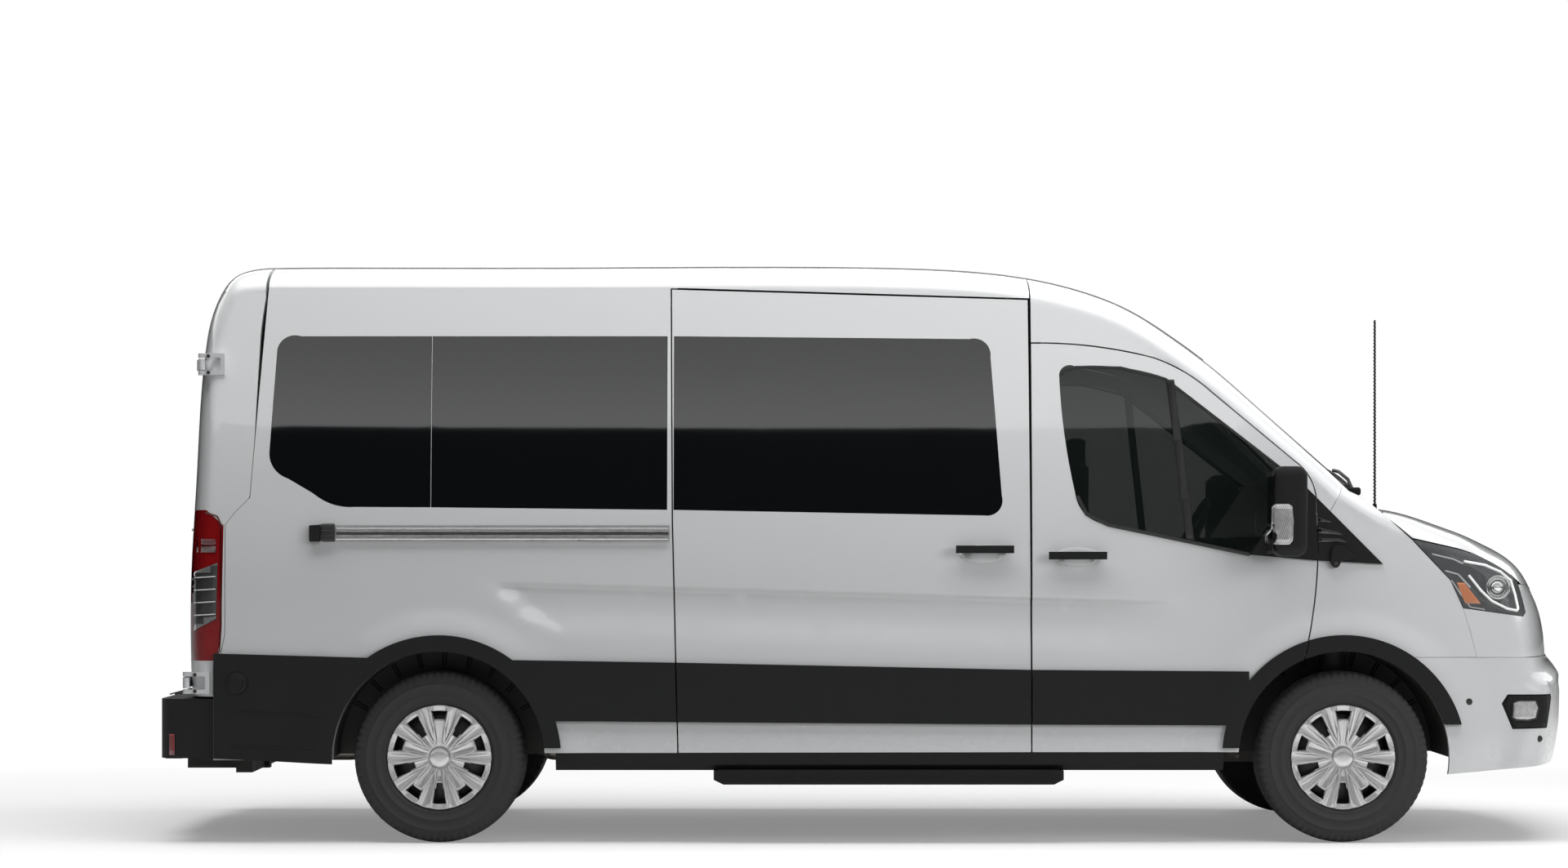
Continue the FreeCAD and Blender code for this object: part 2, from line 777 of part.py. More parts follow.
def front_door():
    """The door shell, with the hinge lug that bears on the post."""
    shell = on_flank(SIDE_SKIN, FRONT_INSIDE.cut([DOOR_GLASS_HOLE, ARCH_FRONT]), 0, size.front_door_wall)
    lug = side_face(closed((0.2800, 0.3950), (0.28994, 0.3950), (0.28994, 0.4700), (0.2800, 0.4700)))
    return shell.fuse(on_flank(SIDE_SKIN, lug, size.front_door_wall / 2,
                               size.front_door_wall + size.post_wall)).removeSplitter()


FRONT_DOOR_PANEL = feature("front_door_right", front_door())
node("front_door_right", FRONT_DOOR_PANEL)
node("front_door_left", mirrored("front_door_left", FRONT_DOOR_PANEL))
FRONT_DOOR_PANE = feature("front_door_glass_right", glass(SIDE_SKIN, DOOR_GLASS))
node("front_door_glass_right", FRONT_DOOR_PANE)
node("front_door_glass_left", mirrored("front_door_glass_left", FRONT_DOOR_PANE))


def fender():
    """The wing between door, pillar, hood, lamp and bumper."""
    outline = side_face(closed(
        (0.2980, 0.3165), (0.3050, 0.4020), (0.3093, 0.5200), (0.3207, 0.5677), (0.3293, 0.6050),
        (0.3444, 0.5885), (0.3555, 0.5640), (0.3768, 0.5160), (0.4034, 0.4473), (0.4125, 0.3990),
        (0.4172, 0.3626), (0.4220, 0.3165)))
    return on_flank(FENDER_SKIN, outline.cut([FRONT_HOLE, LAMP_HOLE, ARCH_FRONT]), 0, size.hood_wall)


node("head_lamps", feature("head_lamps", both(
    on_flank(LAMP_SKIN, LAMP_FACE, size.lamp_inset, size.lamp_depth))))


def profile_points(profile, first, last, count):
    """Points along a profile between two shares of the length or height."""
    t0 = profile.curve.parameter(at(first))
    t1 = profile.curve.parameter(at(last))
    return [profile.curve.value(t) for t in spread(t0, t1, count)]


def shares_between(rows, count):
    """Points spread along a chain of shares."""
    chain = Part.Wire([Part.makeLine(at(a), at(b)) for a, b in zip(rows, rows[1:])])
    return chain.discretize(Number=count)


def full_prism(face):
    """A prism across the whole width over a side-view face."""
    reach = size.body_half_width * 1.3
    return face.translated(Vector(0, -reach, 0)).extrude(Vector(0, 2 * reach, 0))


ROOF_GRID = cap_grid(UPPER, profile_points(UPPER, (-0.4200, 0.9994), (0.1124, 0.9820), 16),
                shares_between(((-0.4200, 0.9300), (0.1124, 0.9130)), 16))
CAB_GRID = cap_grid(UPPER, profile_points(UPPER, (0.1128, 0.9820), (0.3600, 0.5860), 22),
               shares_between(((0.1128, 0.8300), (0.1850, 0.8100), (0.2330, 0.7500),
                               (0.3060, 0.5700), (0.3130, 0.5200), (0.3230, 0.4900)), 22))
TAIL_GRID = cap_grid(UPPER, profile_points(UPPER, (-0.4202, 0.9994), (-0.4768, 0.2500), 24),
                shares_between(((-0.4202, 0.9300), (-0.4230, 0.8800), (-0.4280, 0.6000),
                                (-0.4400, 0.5300), (-0.4430, 0.2500)), 24))
HOOD_GRID = cap_grid(LOWER, profile_points(LOWER, (0.3560, 0.5745), (0.4860, 0.4100), 20),
                shares_between(((0.3460, 0.4900), (0.3900, 0.4600), (0.4200, 0.4200),
                                (0.4250, 0.4000)), 20))


OVER_ROOF_SHARE = 1.05


def roof():
    (rear, low), middle, (front, high) = ROOF_JOINT_SHARES
    outline = side_face(closed(
        (rear, low), (rear, OVER_ROOF_SHARE), (front, OVER_ROOF_SHARE), (front, high), middle))
    outline.translate(Vector(0, 0, size.seat_gap))
    return slab(ROOF_GRID, 0, size.roof_wall).common(full_prism(outline))


node("roof", feature("roof", roof()))


def screen_prism(grow):
    """The windscreen's outline, seen square on to the glass."""
    top, foot = at((0.2420, 0.8400)), at((0.3600, 0.5850))
    along = foot.sub(top)
    normal = Vector(-along.z, 0, along.x).normalize()
    half_top, half_foot = 0.70 * size.body_half_width, 0.86 * size.body_half_width
    corners = [top.add(Vector(0, -half_top, 0)), foot.add(Vector(0, -half_foot, 0)),
               foot.add(Vector(0, half_foot, 0)), top.add(Vector(0, half_top, 0))]
    wire = Part.makePolygon([corner.sub(normal * size.body_height / 8) for corner in corners + corners[:1]])
    face = Part.Face(wire)
    if grow:
        face = face.makeOffset2D(grow)
    return face.extrude(normal * size.body_height / 4)


def cab_shell():
    """Cab roof, pillars and windscreen frame in one pressing."""
    outline = side_face(closed(
        (0.1126, 1.05), (0.3700, 1.05), (0.3700, 0.5750), (0.3444, 0.5915), (0.3294, 0.6060),
        (0.3206, 0.5690), (0.3125, 0.5345), (0.1126, 0.5345)))
    wall = slab(CAB_GRID, 0, size.cab_wall).common(full_prism(outline))
    return wall.cut([full_prism(FRONT_HOLE), screen_prism(size.fit_gap)])


CAB_SHELL = cab_shell()
node("cab_shell", feature("cab_shell", CAB_SHELL))
node("front_fenders", feature("front_fenders", both(fender())))
node("windscreen", feature("windscreen", slab(
    CAB_GRID, size.screen_inset, size.screen_inset + size.glass_wall).common(screen_prism(0))))


def tail_frame():
    """Rear corners and header round the rear doors."""
    outline = side_face(closed(
        (-0.4184, 0.9475), (-0.4184, 1.05), (-0.52, 1.05), (-0.52, 0.2475), (-0.4544, 0.2475),
        (-0.4544, 0.3095), (-0.4504, 0.3095), (-0.4463, 0.3560), (-0.4463, 0.5420),
        (-0.4395, 0.5632), (-0.4293, 0.5883)))
    wall = slab(TAIL_GRID, 0, size.corner_wall).common(full_prism(outline))
    return wall.cut([rear_door_prism(size.shut_gap / 2), full_prism(TAIL_HOLE)])


def rear_door_prism(grow):
    """The outline of both rear doors, seen from behind."""
    half = size.rear_door_half_width + grow
    low, high = size.rear_door_low - grow, size.rear_door_top + grow
    length = size.body_length
    return Part.makeBox(0.12 * length, 2 * half, high - low, Vector(-0.52 * length, -half, low))


REAR_CORNERS = tail_frame()
node("rear_corners", feature("rear_corners", REAR_CORNERS))
node("tail_lamps", feature("tail_lamps", slab(TAIL_GRID, size.lamp_inset, size.corner_wall).common(
    full_prism(TAIL_FACE).cut(rear_door_prism(size.shut_gap / 2)))))


HINGE_LOW = (size.hinge_low_back, size.hinge_low_out, size.hinge_low)
HINGE_HIGH = (size.hinge_high_back, size.hinge_high_out, size.hinge_high)
HINGE_ENDS = (HINGE_LOW, HINGE_HIGH)


def hinge_strap(back, out, z, door_back):
    """The moving half of a rear hinge: a strap over the corner with its barrel, on the right."""
    tall = size.hinge_height / 2
    pin = Part.makeCylinder(size.hinge_radius, tall, Vector(-back, -out, z - tall / 2))
    radius, end = size.hinge_radius, -size.strap_reach
    plan = Part.Face(Part.makePolygon([Vector(x, y, z - tall / 2) for x, y in (
        (radius - back, -out), (-door_back, end), (-door_back - radius, end), (-back - radius, -out),
        (radius - back, -out))]))
    foot = Part.makeBox(radius, size.strap_foot, tall,
                        Vector(-door_back - radius / 2, end - size.strap_foot, z - tall / 2))
    return pin.fuse([plan.extrude(Vector(0, 0, tall)), foot]).removeSplitter()


def hinge_leaf(back, out, z):
    """The fixed half: two barrels and a plate with a slot for the strap, on the right."""
    tall = size.hinge_height
    pin = Part.makeCylinder(size.hinge_radius, tall, Vector(-back, -out, z - tall / 2))
    plate = Part.makeBox(size.leaf_reach, 1.4 * size.hinge_radius, tall,
                         Vector(-back, -out - size.hinge_radius, z - tall / 2))
    swing = tall / 2 + 1.5 * size.shut_gap
    space = Part.makeBox(1.5 * size.hinge_radius + size.leaf_slot, 4 * size.hinge_radius, swing,
                         Vector(-back - 1.5 * size.hinge_radius, -out - 2 * size.hinge_radius, z - swing / 2))
    return pin.fuse(plate).cut(space).removeSplitter()


def rear_doors():
    """One rear door and its pane, on the right."""
    half = Part.makeBox(0.12 * size.body_length,
                        size.rear_door_half_width - size.shut_gap / 2 - size.seam_gap / 2,
                        size.rear_door_top - size.rear_door_low,
                        Vector(-0.52 * size.body_length, -size.rear_door_half_width + size.shut_gap / 2,
                               size.rear_door_low))
    low, high = 0.5720 * size.body_height, 0.8640 * size.body_height
    edge = size.rear_door_half_width
    pane = Part.makeBox(0.12 * size.body_length, 0.74 * edge, high - low,
                        Vector(-0.52 * size.body_length, -0.87 * edge, low))
    hole = Part.makeBox(0.12 * size.body_length, 0.74 * edge + 2 * size.fit_gap,
                        high - low + 2 * size.fit_gap,
                        Vector(-0.52 * size.body_length, -0.87 * edge - size.fit_gap, low - size.fit_gap))
    panel = slab(TAIL_GRID, 0, size.rear_door_wall).common(half).cut(hole)
    window = slab(TAIL_GRID, size.glass_inset, size.glass_inset + size.glass_wall).common(pane)
    straps = [hinge_strap(*HINGE_LOW, size.strap_low_back).cut(panel),
              hinge_strap(*HINGE_HIGH, size.strap_high_back).cut(panel)]
    return Part.makeCompound(panel.Solids + straps), window


LEAVES = [hinge_leaf(*end).cut(REAR_CORNERS) for end in HINGE_ENDS]
node("rear_hinges", feature("rear_hinges", both(*LEAVES)))
REAR_DOOR_SHAPES = rear_doors()
REAR_DOOR = feature("rear_door_right", REAR_DOOR_SHAPES[0])
node("rear_door_right", REAR_DOOR)
node("rear_door_left", mirrored("rear_door_left", REAR_DOOR))
REAR_PANE = feature("rear_door_glass_right", REAR_DOOR_SHAPES[1])
node("rear_door_glass_right", REAR_PANE)
node("rear_door_glass_left", mirrored("rear_door_glass_left", REAR_PANE))


def hood():
    """The lid, with a rear edge that follows the foot of the windscreen."""
    outline = side_face(closed(*HOOD_EDGE_SHARES, (0.52, 0.75), (0.3400, 0.75), (0.3400, 0.5665)))
    middle, side, front = (share * size.body_length for share in (0.3705, 0.3568, 0.52))
    half = 0.95 * size.body_half_width
    arc = Part.Arc(Vector(side, -half, 0), Vector(middle, 0, 0), Vector(side, half, 0)).toShape()
    rest = Part.makePolygon([Vector(side, half, 0), Vector(side, 2 * half, 0), Vector(front, 2 * half, 0),
                             Vector(front, -2 * half, 0), Vector(side, -2 * half, 0),
                             Vector(side, -half, 0)])
    plan = Part.Face(Part.Wire([arc] + rest.Edges)).extrude(Vector(0, 0, size.body_height))
    lid = slab(HOOD_GRID, 0, size.hood_wall).common(full_prism(outline)).common(plan)
    lid = lid.cut(full_prism(grown(LAMP_FACE, size.shut_gap)))
    return lid.fuse([hood_ear(), left_of(hood_ear())]).removeSplitter()


def hood_ear():
    """A hinge lug under the rear edge of the lid, round its pin, on the right."""
    pin, low = size.pin_radius, size.hood_pin_back
    eye = Vector(low, 0, size.hood_pin_height)
    face = side_face(closed(eye.add(Vector(-2 * pin, 0, -2 * pin)), eye.add(Vector(-2 * pin, 0, pin)),
                            eye.add(Vector(2 * pin, 0, pin)), eye.add(Vector(9 * pin, 0, -4 * pin)),
                            eye.add(Vector(9 * pin, 0, -8 * pin)), eye.add(Vector(3 * pin, 0, -8 * pin))))
    hole = disc(low, size.hood_pin_height, pin + size.seat_gap)
    return across(face.cut(hole), size.hood_pin_out, size.hood_pin_out + 2 * pin)


def hood_bracket():
    """Two cheeks and a pin that stand on the tray, on the right."""
    pin, low, out = size.pin_radius, size.hood_pin_back, size.hood_pin_out
    foot = 0.5310 * size.body_height + size.floor_wall / 2
    eye = Vector(low, 0, size.hood_pin_height)
    face = side_face(closed(Vector(low - 2 * pin, 0, foot), Vector(low + 2 * pin, 0, foot),
                            eye.add(Vector(1.2 * pin, 0, pin)), eye.add(Vector(-1.2 * pin, 0, pin))))
    cheeks = [across(face, out - 1.5 * pin, out - pin / 4), across(face, out + 2.25 * pin, out + 3.5 * pin)]
    axle = Part.makeCylinder(pin, 5 * pin, Vector(low, -out - 3.5 * pin, size.hood_pin_height),
                             Vector(0, 1, 0))
    return axle.fuse(cheeks)


node("hood", feature("hood", hood()))


def nose_grid(profile, first, last, back, count):
    """Skin points round the nose, a row for each level ray from the profile to the flank."""
    starts = profile_points(profile, first, last, count)
    ends = [Vector(back * size.body_length, 0, start.z) for start in starts]
    return cap_grid(profile, starts, ends)


NOSE_GRID = nose_grid(LOWER, (0.4800, 0.4410), (0.4919, 0.3130), 0.4080, 12)
BUMPER_GRID = nose_grid(BUMPER, (0.4905, 0.3157), (0.4911, 0.1005), 0.3700, 18)
NOSE_WIDE_SHARE = 0.56
NOSE_OPENING_SHARES = (0.3270, 0.4300)
BUMPER_WIDE_SHARE = 0.47
BUMPER_OPENING_SHARES = (0.1650, 0.2350)
FOG_BEZEL = closed((0.4397, 0.2370), (0.4437, 0.2525), (0.4757, 0.2525), (0.4763, 0.2454),
                   (0.4723, 0.1950), (0.4471, 0.1936))
FOG_FACE, FOG_HOLE = glass_and_hole(FOG_BEZEL)


def opening(wide_share, level_shares, grow):
    """A block through the nose over a centred opening."""
    half = wide_share * size.body_half_width + grow
    low = level_shares[0] * size.body_height - grow
    high = level_shares[1] * size.body_height + grow
    return Part.makeBox(0.12 * size.body_length, 2 * half, high - low,
                        Vector(0.42 * size.body_length, -half, low))


def front_panel():
    outline = side_face(closed(
        (0.4126, 0.3995), (0.4560, 0.3848), (0.4590, 0.3920), (0.4565, 0.4390), (0.5200, 0.4390),
        (0.5200, 0.3162), (0.4222, 0.3162), (0.4174, 0.3626)))
    wall = slab(NOSE_GRID, 0, size.hood_wall).common(full_prism(outline.cut(LAMP_HOLE)))
    return wall.cut(opening(NOSE_WIDE_SHARE, NOSE_OPENING_SHARES, size.fit_gap))


def front_bumper():
    outline = side_face(closed(
        (0.3700, 0.3159), (0.5200, 0.3153), (0.5200, 0.1900), (0.4975, 0.1690), (0.4927, 0.1510),
        (0.4834, 0.1338), (0.3984, 0.1165), (0.3700, 0.1165)))
    wall = slab(BUMPER_GRID, 0, size.bumper_wall)
    wall = wall.common(full_prism(outline.cut([ARCH_FRONT, FOG_HOLE])))
    return wall.cut(opening(BUMPER_WIDE_SHARE, BUMPER_OPENING_SHARES, size.fit_gap))


SLATS = 4


def slotted(grid, wide_share, level_shares, slats):
    """A grille insert: a frame with level slots between its slats."""
    insert = slab(grid, 2 * size.lamp_inset, size.hood_wall).common(opening(wide_share, level_shares, 0))
    low, high = (share * size.body_height for share in level_shares)
    pitch = (high - low) / slats
    half = wide_share * size.body_half_width - pitch / 4
    slots = [Part.makeBox(0.12 * size.body_length, 2 * half, pitch / 2,
                          Vector(0.42 * size.body_length, -half, low + pitch * (index + 0.25)))
             for index in range(slats)]
    return insert.cut(slots)


def grille():
    fogs = slab(BUMPER_GRID, 2 * size.lamp_inset, size.bumper_wall).common(full_prism(FOG_FACE))
    return Part.makeCompound([
        slotted(NOSE_GRID, NOSE_WIDE_SHARE, NOSE_OPENING_SHARES, SLATS),
        slotted(BUMPER_GRID, BUMPER_WIDE_SHARE, BUMPER_OPENING_SHARES, 2), fogs])


node("front_panel", feature("front_panel", front_panel()))
FRONT_BUMPER = front_bumper()
node("front_bumper", feature("front_bumper", FRONT_BUMPER))
node("grille", feature("grille", grille()))


def rear_bumper():
    """Wrapped bumper with the step that stands out behind the doors."""
    half = size.body_half_width - size.tail_taper
    low, high = 0.1450 * size.body_height, 0.2460 * size.body_height
    back, front = -0.4915 * size.body_length, -0.4541 * size.body_length
    shell = Part.makeBox(front - back, 2 * half, high - low, Vector(back, -half, low))
    corners = [edge for edge in shell.Edges
               if abs(edge.CenterOfMass.x - back) < size.fit_gap and edge.tangentAt(0).z ** 2 > 0.5]
    wall = size.bumper_wall
    inside = Part.makeBox(front - back, 2 * (half - wall), high - low,
                          Vector(back + wall, wall - half, low - wall))
    shell = shell.makeFillet(0.07 * half, corners).cut(inside)
    step_half = 0.52 * size.body_half_width
    step_low = 0.1330 * size.body_height
    step = Part.makeBox(size.body_length / 2 + back + size.overrun, 2 * step_half,
                        0.1930 * size.body_height - step_low,
                        Vector(-size.body_length / 2, -step_half, step_low))
    edges = [edge for edge in step.Edges if edge.CenterOfMass.x < back and edge.Length < 2 * step_half]
    step = step.makeFillet(0.3 * size.overrun, edges)
    return shell.fuse(step).removeSplitter()


node("rear_bumper", feature("rear_bumper", rear_bumper()))


def clad(skin, face):
    """A moulding that stands proud of the flank."""
    return on_flank(skin, face, -size.cladding_proud, -size.fit_gap)


def arch_trim(x):
    """The band round a wheel arch, down to its lower ends."""
    base = 0.1630 * size.body_height

    def arc(radius):
        reach = math.sqrt(radius ** 2 - (base - size.tyre_radius) ** 2)
        return Vector(x - reach, 0, base), Vector(x, 0, size.tyre_radius + radius), Vector(x + reach, 0, base)
    outer = arc(size.arch_trim_radius)
    inner = arc(size.arch_radius)
    return side_face((outer, (outer[2], inner[2]), inner[::-1], (inner[0], outer[0])))


def merged(*faces):
    return faces[0].fuse(list(faces[1:])).removeSplitter()


BAND_TOP_SHARES = (
    (-0.4535, 0.3232), (-0.3500, 0.3164), (-0.1372, 0.3080), (0.1113, 0.2956), (0.2626, 0.2928))
BAND_FOOT_SHARES = ((0.2626, 0.2012), (0.1113, 0.2027), (-0.1327, 0.2069), (-0.2300, 0.2087))


def cladding():
    quarter = side_face(closed((-0.4535, 0.3232), (-0.3500, 0.3164), (-0.3500, 0.1330), (-0.4535, 0.1450)))
    band = side_face(closed((-0.3500, 0.3164), *BAND_TOP_SHARES[2:], *BAND_FOOT_SHARES, (-0.3500, 0.2100)))
    rear = merged(quarter, band, arch_trim(size.rear_axle)).cut(ARCH_REAR)
    behind_sliding = side_face(closed((-0.60, 1.0), (-0.1330, 1.0), (-0.1330, 0.0), (-0.60, 0.0)))
    behind_door = side_face(closed((-0.60, 1.0), (0.1119, 1.0), (0.1119, 0.0), (-0.60, 0.0)))
    right = clad(SIDE_SKIN, rear.common(behind_sliding).cut(SLIDING_HOLE))
    left = left_of(clad(SIDE_SKIN, rear.common(behind_door)))
    sliding = clad(SIDE_SKIN, band.common(SLIDING_INSIDE))
    wing = arch_trim(size.front_axle).cut(FRONT_HOLE).common(side_face(closed(
        (0.2900, 0.3700), (0.4300, 0.3700), (0.4300, 0.2020), (0.3290, 0.2020), (0.2900, 0.3000))))
    wing_trim = clad(FENDER_SKIN, wing).cut(FRONT_BUMPER)
    sail_face = side_face(SAIL_SHARES).cut(FRONT_HOLE)
    sail = on_flank(FENDER_SKIN, sail_face, -size.sail_proud, -size.fit_gap).cut(CAB_SHELL)
    handle = bar_handle((0.0597, 0.4936))
    cap = on_flank(SIDE_SKIN, side_face(closed(
        (-0.3870, 0.5410), (-0.3800, 0.5410), (-0.3800, 0.5132), (-0.3870, 0.5132))),
        -2 * size.track_proud, -size.fit_gap)
    return Part.makeCompound([right, left, sliding, wing_trim, left_of(wing_trim), sail, left_of(sail),
                              handle, cap])


def bar_handle(start):
    """A pull handle: a bar on two feet, from the place of its rear end."""
    low = at(start)
    long = size.handle_length
    tall = size.handle_height

    def plate(x, wide, outer, inner):
        face = side_face(closed(*[low.add(Vector(x + dx, 0, dz)) for dx, dz in
                                  ((0, 0), (wide, 0), (wide, tall), (0, tall))]))
        return on_flank(SIDE_SKIN, face, outer, inner)
    bar = plate(0, long, -size.handle_proud, size.handle_wall - size.handle_proud)
    feet = [plate(x, tall, -size.handle_proud, -size.fit_gap) for x in (tall, long - 2 * tall)]
    return bar.fuse(feet).removeSplitter()


node("cladding", feature("cladding", cladding()))


def mirror_housing():
    """The mirror's shell on its arm, in front of the door window."""
    x = 0.2755 * size.body_length
    z = 0.4883 * size.body_height
    inner = size.body_half_width + 2 * size.overrun
    shell = Part.makeBox(size.mirror_depth, size.mirror_width - size.overrun, size.mirror_height,
                         Vector(x, -inner - size.mirror_width + size.overrun, z))
    shell = shell.makeFillet(size.mirror_round, shell.Edges)
    arm = Part.makeBox(size.mirror_depth / 2, inner - size.body_half_width + 3 * size.overrun,
                       size.mirror_height / 6,
                       Vector(x + size.mirror_depth / 4, -inner - size.overrun, z + size.mirror_height / 6))
    return shell.fuse(arm)


def door_trim():
    band = side_face(closed((0.1000, 0.2958), *BAND_TOP_SHARES[3:], (0.2626, 0.2012), (0.1000, 0.2028)))
    lower = clad(SIDE_SKIN, merged(band, arch_trim(size.front_axle)).common(FRONT_INSIDE).cut(ARCH_FRONT))
    sail = on_flank(SIDE_SKIN, side_face(SAIL_SHARES).common(FRONT_INSIDE), -size.sail_proud, -size.fit_gap)
    mirror = mirror_housing().cut(on_flank(SIDE_SKIN, FRONT_INSIDE, -size.fit_gap, size.side_wall))
    return Part.makeCompound([lower, sail.fuse(mirror), bar_handle((0.1239, 0.4830))])


DOOR_TRIM = feature("front_door_trim_right", door_trim())
node("front_door_trim_right", DOOR_TRIM)
node("front_door_trim_left", mirrored("front_door_trim_left", DOOR_TRIM))


def slide_track():
    """The channel that the sliding door's rear roller runs in."""
    low, high = size.track_low, size.track_high
    first, last = -0.3800 * size.body_length, -0.1381 * size.body_length

    def plate(z0, z1, outer, inner):
        face = side_face(closed(Vector(first, 0, z0), Vector(last, 0, z0), Vector(last, 0, z1),
                                Vector(first, 0, z1)))
        return on_flank(SIDE_SKIN, face, outer, inner)
    lip = (high - low) / 4
    channel = plate(low, high, -size.track_proud, -size.fit_gap)
    slot = plate(low + lip, high - lip, -2 * size.track_proud, -size.track_proud / 3)
    return channel.cut(slot)


node("slide_track", feature("slide_track", slide_track()))


def sills():
    """Rocker covers under the doors on both sides, and the boarding step on the right."""
    first, last = -0.2170 * size.body_length, 0.2450 * size.body_length
    side = size.body_half_width - size.fit_gap
    low, high = size.sill_low, size.sill_low + size.sill_height
    section = [Vector(first, -side + size.overrun, low), Vector(first, -side, low + size.sill_height / 3),
               Vector(first, -side, high), Vector(first, -side + size.sill_depth, high),
               Vector(first, -side + size.sill_depth, low)]
    sill = Part.Face(Part.makePolygon(section + section[:1])).extrude(Vector(last - first, 0, 0))
    base, top = size.board_low, size.sill_low - size.seat_gap
    left, right = -0.1077 * size.body_length, 0.1343 * size.body_length
    bevel = 2 * size.overrun
    board = side_face(closed(Vector(left, 0, top), Vector(right, 0, top), Vector(right, 0, base + bevel / 2),
                             Vector(right - bevel, 0, base), Vector(left + bevel, 0, base),
                             Vector(left, 0, base + bevel / 2)))
    step = across(board, side - size.board_width + size.overrun, side + size.overrun)
    return Part.makeCompound([sill, left_of(sill), step])


node("sills", feature("sills", sills()))


# Frame, floor and running gear.
RAIL_LOW = "(floor_height - floor_wall - rail_height)"


def wheelhouse(x, inner, outer, wall):
    """A half drum over a wheel with a closed inner end, on the right."""
    radius = size.arch_radius
    z = size.tyre_radius

    def drum(r, y0, y1):
        return Part.makeCylinder(r, y1 - y0, Vector(x, -y1, z), Vector(0, 1, 0))
    shell = drum(radius + wall, inner - wall, outer).cut(drum(radius, inner, outer + wall))
    reach = radius + 2 * wall
    upper = Part.makeBox(2 * reach, outer - inner + 2 * wall, reach, Vector(x - reach, -outer, z))
    return shell.common(upper)


FLOOR_EDGE_SHARES = ((-0.4700, 0.15), (0.1200, 0.15), (0.1200, 0.35), (-0.4700, 0.35))
WING_EDGE_SHARES = ((0.2900, 0.14), (0.4150, 0.14), (0.4150, 0.35), (0.2900, 0.35))


def floor():
    """Load floor, cab floor and the wheel housings, as one pressed tray."""
    wide = size.body_half_width - size.side_wall
    narrow = size.body_half_width - size.nose_taper - size.front_door_wall - size.shut_gap
    low, wall = size.floor_height, size.floor_wall
    rear, joint, front = -0.4600 * size.body_length, 0.1120 * size.body_length, 0.3200 * size.body_length
    tray = Part.makeBox(joint - rear, 2 * wide, wall, Vector(rear, -wide, low))
    cab = Part.makeBox(front - joint, 2 * narrow, wall, Vector(joint, -narrow, low))
    tyre_inner = size.track_rear / 2 - size.tyre_width / 2
    rear_inner = tyre_inner - 2 * size.overrun
    holes = []
    houses = []
    for x, inner, outer in ((size.rear_axle, rear_inner, wide),
                            (size.front_axle, size.liner_inner, size.body_half_width)):
        house = wheelhouse(x, inner, outer, size.liner_wall)
        hole = Part.makeCylinder(size.arch_radius, 2 * size.body_half_width,
                                 Vector(x, -inner - 2 * size.body_half_width, size.tyre_radius),
                                 Vector(0, 1, 0))
        houses += [house, left_of(house)]
        holes += [hole, left_of(hole)]
    rear_edge = on_flank(SIDE_SKIN, side_face(closed(*FLOOR_EDGE_SHARES)), -size.overrun,
                         size.side_wall + size.seat_gap)
    wing_edge = on_flank(FENDER_SKIN, side_face(closed(*WING_EDGE_SHARES)), -5 * size.overrun,
                         size.hood_wall + size.seat_gap)
    door_edge = on_flank(SIDE_SKIN, grown(FRONT_HOLE, size.shut_gap), -size.overrun,
                         size.front_door_wall + size.shut_gap)
    edges = [rear_edge, left_of(rear_edge), wing_edge, left_of(wing_edge), door_edge, left_of(door_edge)]
    bulkhead = Part.makeBox(wall / 2, 2 * narrow, 0.50 * size.body_height - low,
                            Vector(front - wall / 2, -narrow, low))
    axle_way = Part.makeCylinder(size.axle_tube_radius + size.overrun, 2 * wide,
                                 Vector(size.rear_axle, -wide, size.tyre_radius), Vector(0, 1, 0))
    pressed = tray.fuse([cab, bulkhead]).cut(holes).fuse(houses).cut(edges + [axle_way, FRONT_BUMPER])
    pressed = pressed.removeSplitter()
    return max(pressed.Solids, key=lambda solid: solid.Volume)


node("floor", feature("floor", floor()))

RAIL_RIGHT = box("rail_right", "0.848 * body_length", "rail_width", "rail_height",
                 "-0.452 * body_length", "-rail_spacing / 2 - rail_width / 2", RAIL_LOW)
RAIL_LEFT = mirrored("rail_left", RAIL_RIGHT)
CROSS_SHARES = (-0.452, -0.355, -0.170, -0.020, 0.160, 0.290)
CROSS_MEMBERS = [
    box("cross_member_%d" % index, "2 * rail_width", "member_length", "floor_wall - seat_gap",
        "%.3f * body_length" % share, "-member_length / 2", "floor_height - floor_wall")
    for index, share in enumerate(CROSS_SHARES[:-1])]
CROSS_MEMBERS.append(box(
    "cross_member_front", "2 * rail_width", "rail_spacing + rail_width", "floor_wall - seat_gap",
    "%.3f * body_length" % CROSS_SHARES[-1], "-rail_spacing / 2 - rail_width / 2",
    "floor_height - floor_wall"))
RECEIVER_OUT = box("receiver_outside", "2 * receiver_depth", "receiver_bore + 2 * receiver_wall",
                   "receiver_bore + 2 * receiver_wall", "-body_length / 2 + overrun",
                   "-receiver_bore / 2 - receiver_wall",
                   "receiver_height - receiver_bore / 2 - receiver_wall")
RECEIVER_IN = box("receiver_inside", "receiver_depth + overrun", "receiver_bore", "receiver_bore",
                  "-body_length / 2", "-receiver_bore / 2", "receiver_height - receiver_bore / 2")
HITCH_BEAM = box("hitch_beam", "rail_width", "rail_spacing + rail_width", "rail_width",
                 "-0.4510 * body_length", "-rail_spacing / 2 - rail_width / 2",
                 "receiver_height - receiver_bore / 2")
HITCH_LEG = box("hitch_leg_right", "rail_width", "rail_width",
                RAIL_LOW + " - receiver_height + receiver_bore / 2", "-0.4510 * body_length",
                "-rail_spacing / 2 - rail_width / 2", "receiver_height - receiver_bore / 2")
FRAME = fuse("frame_fused", RAIL_RIGHT, RAIL_LEFT, HITCH_BEAM, HITCH_LEG,
             mirrored("hitch_leg_left", HITCH_LEG), RECEIVER_OUT, *CROSS_MEMBERS)
node("chassis", cut("chassis", FRAME, RECEIVER_IN))

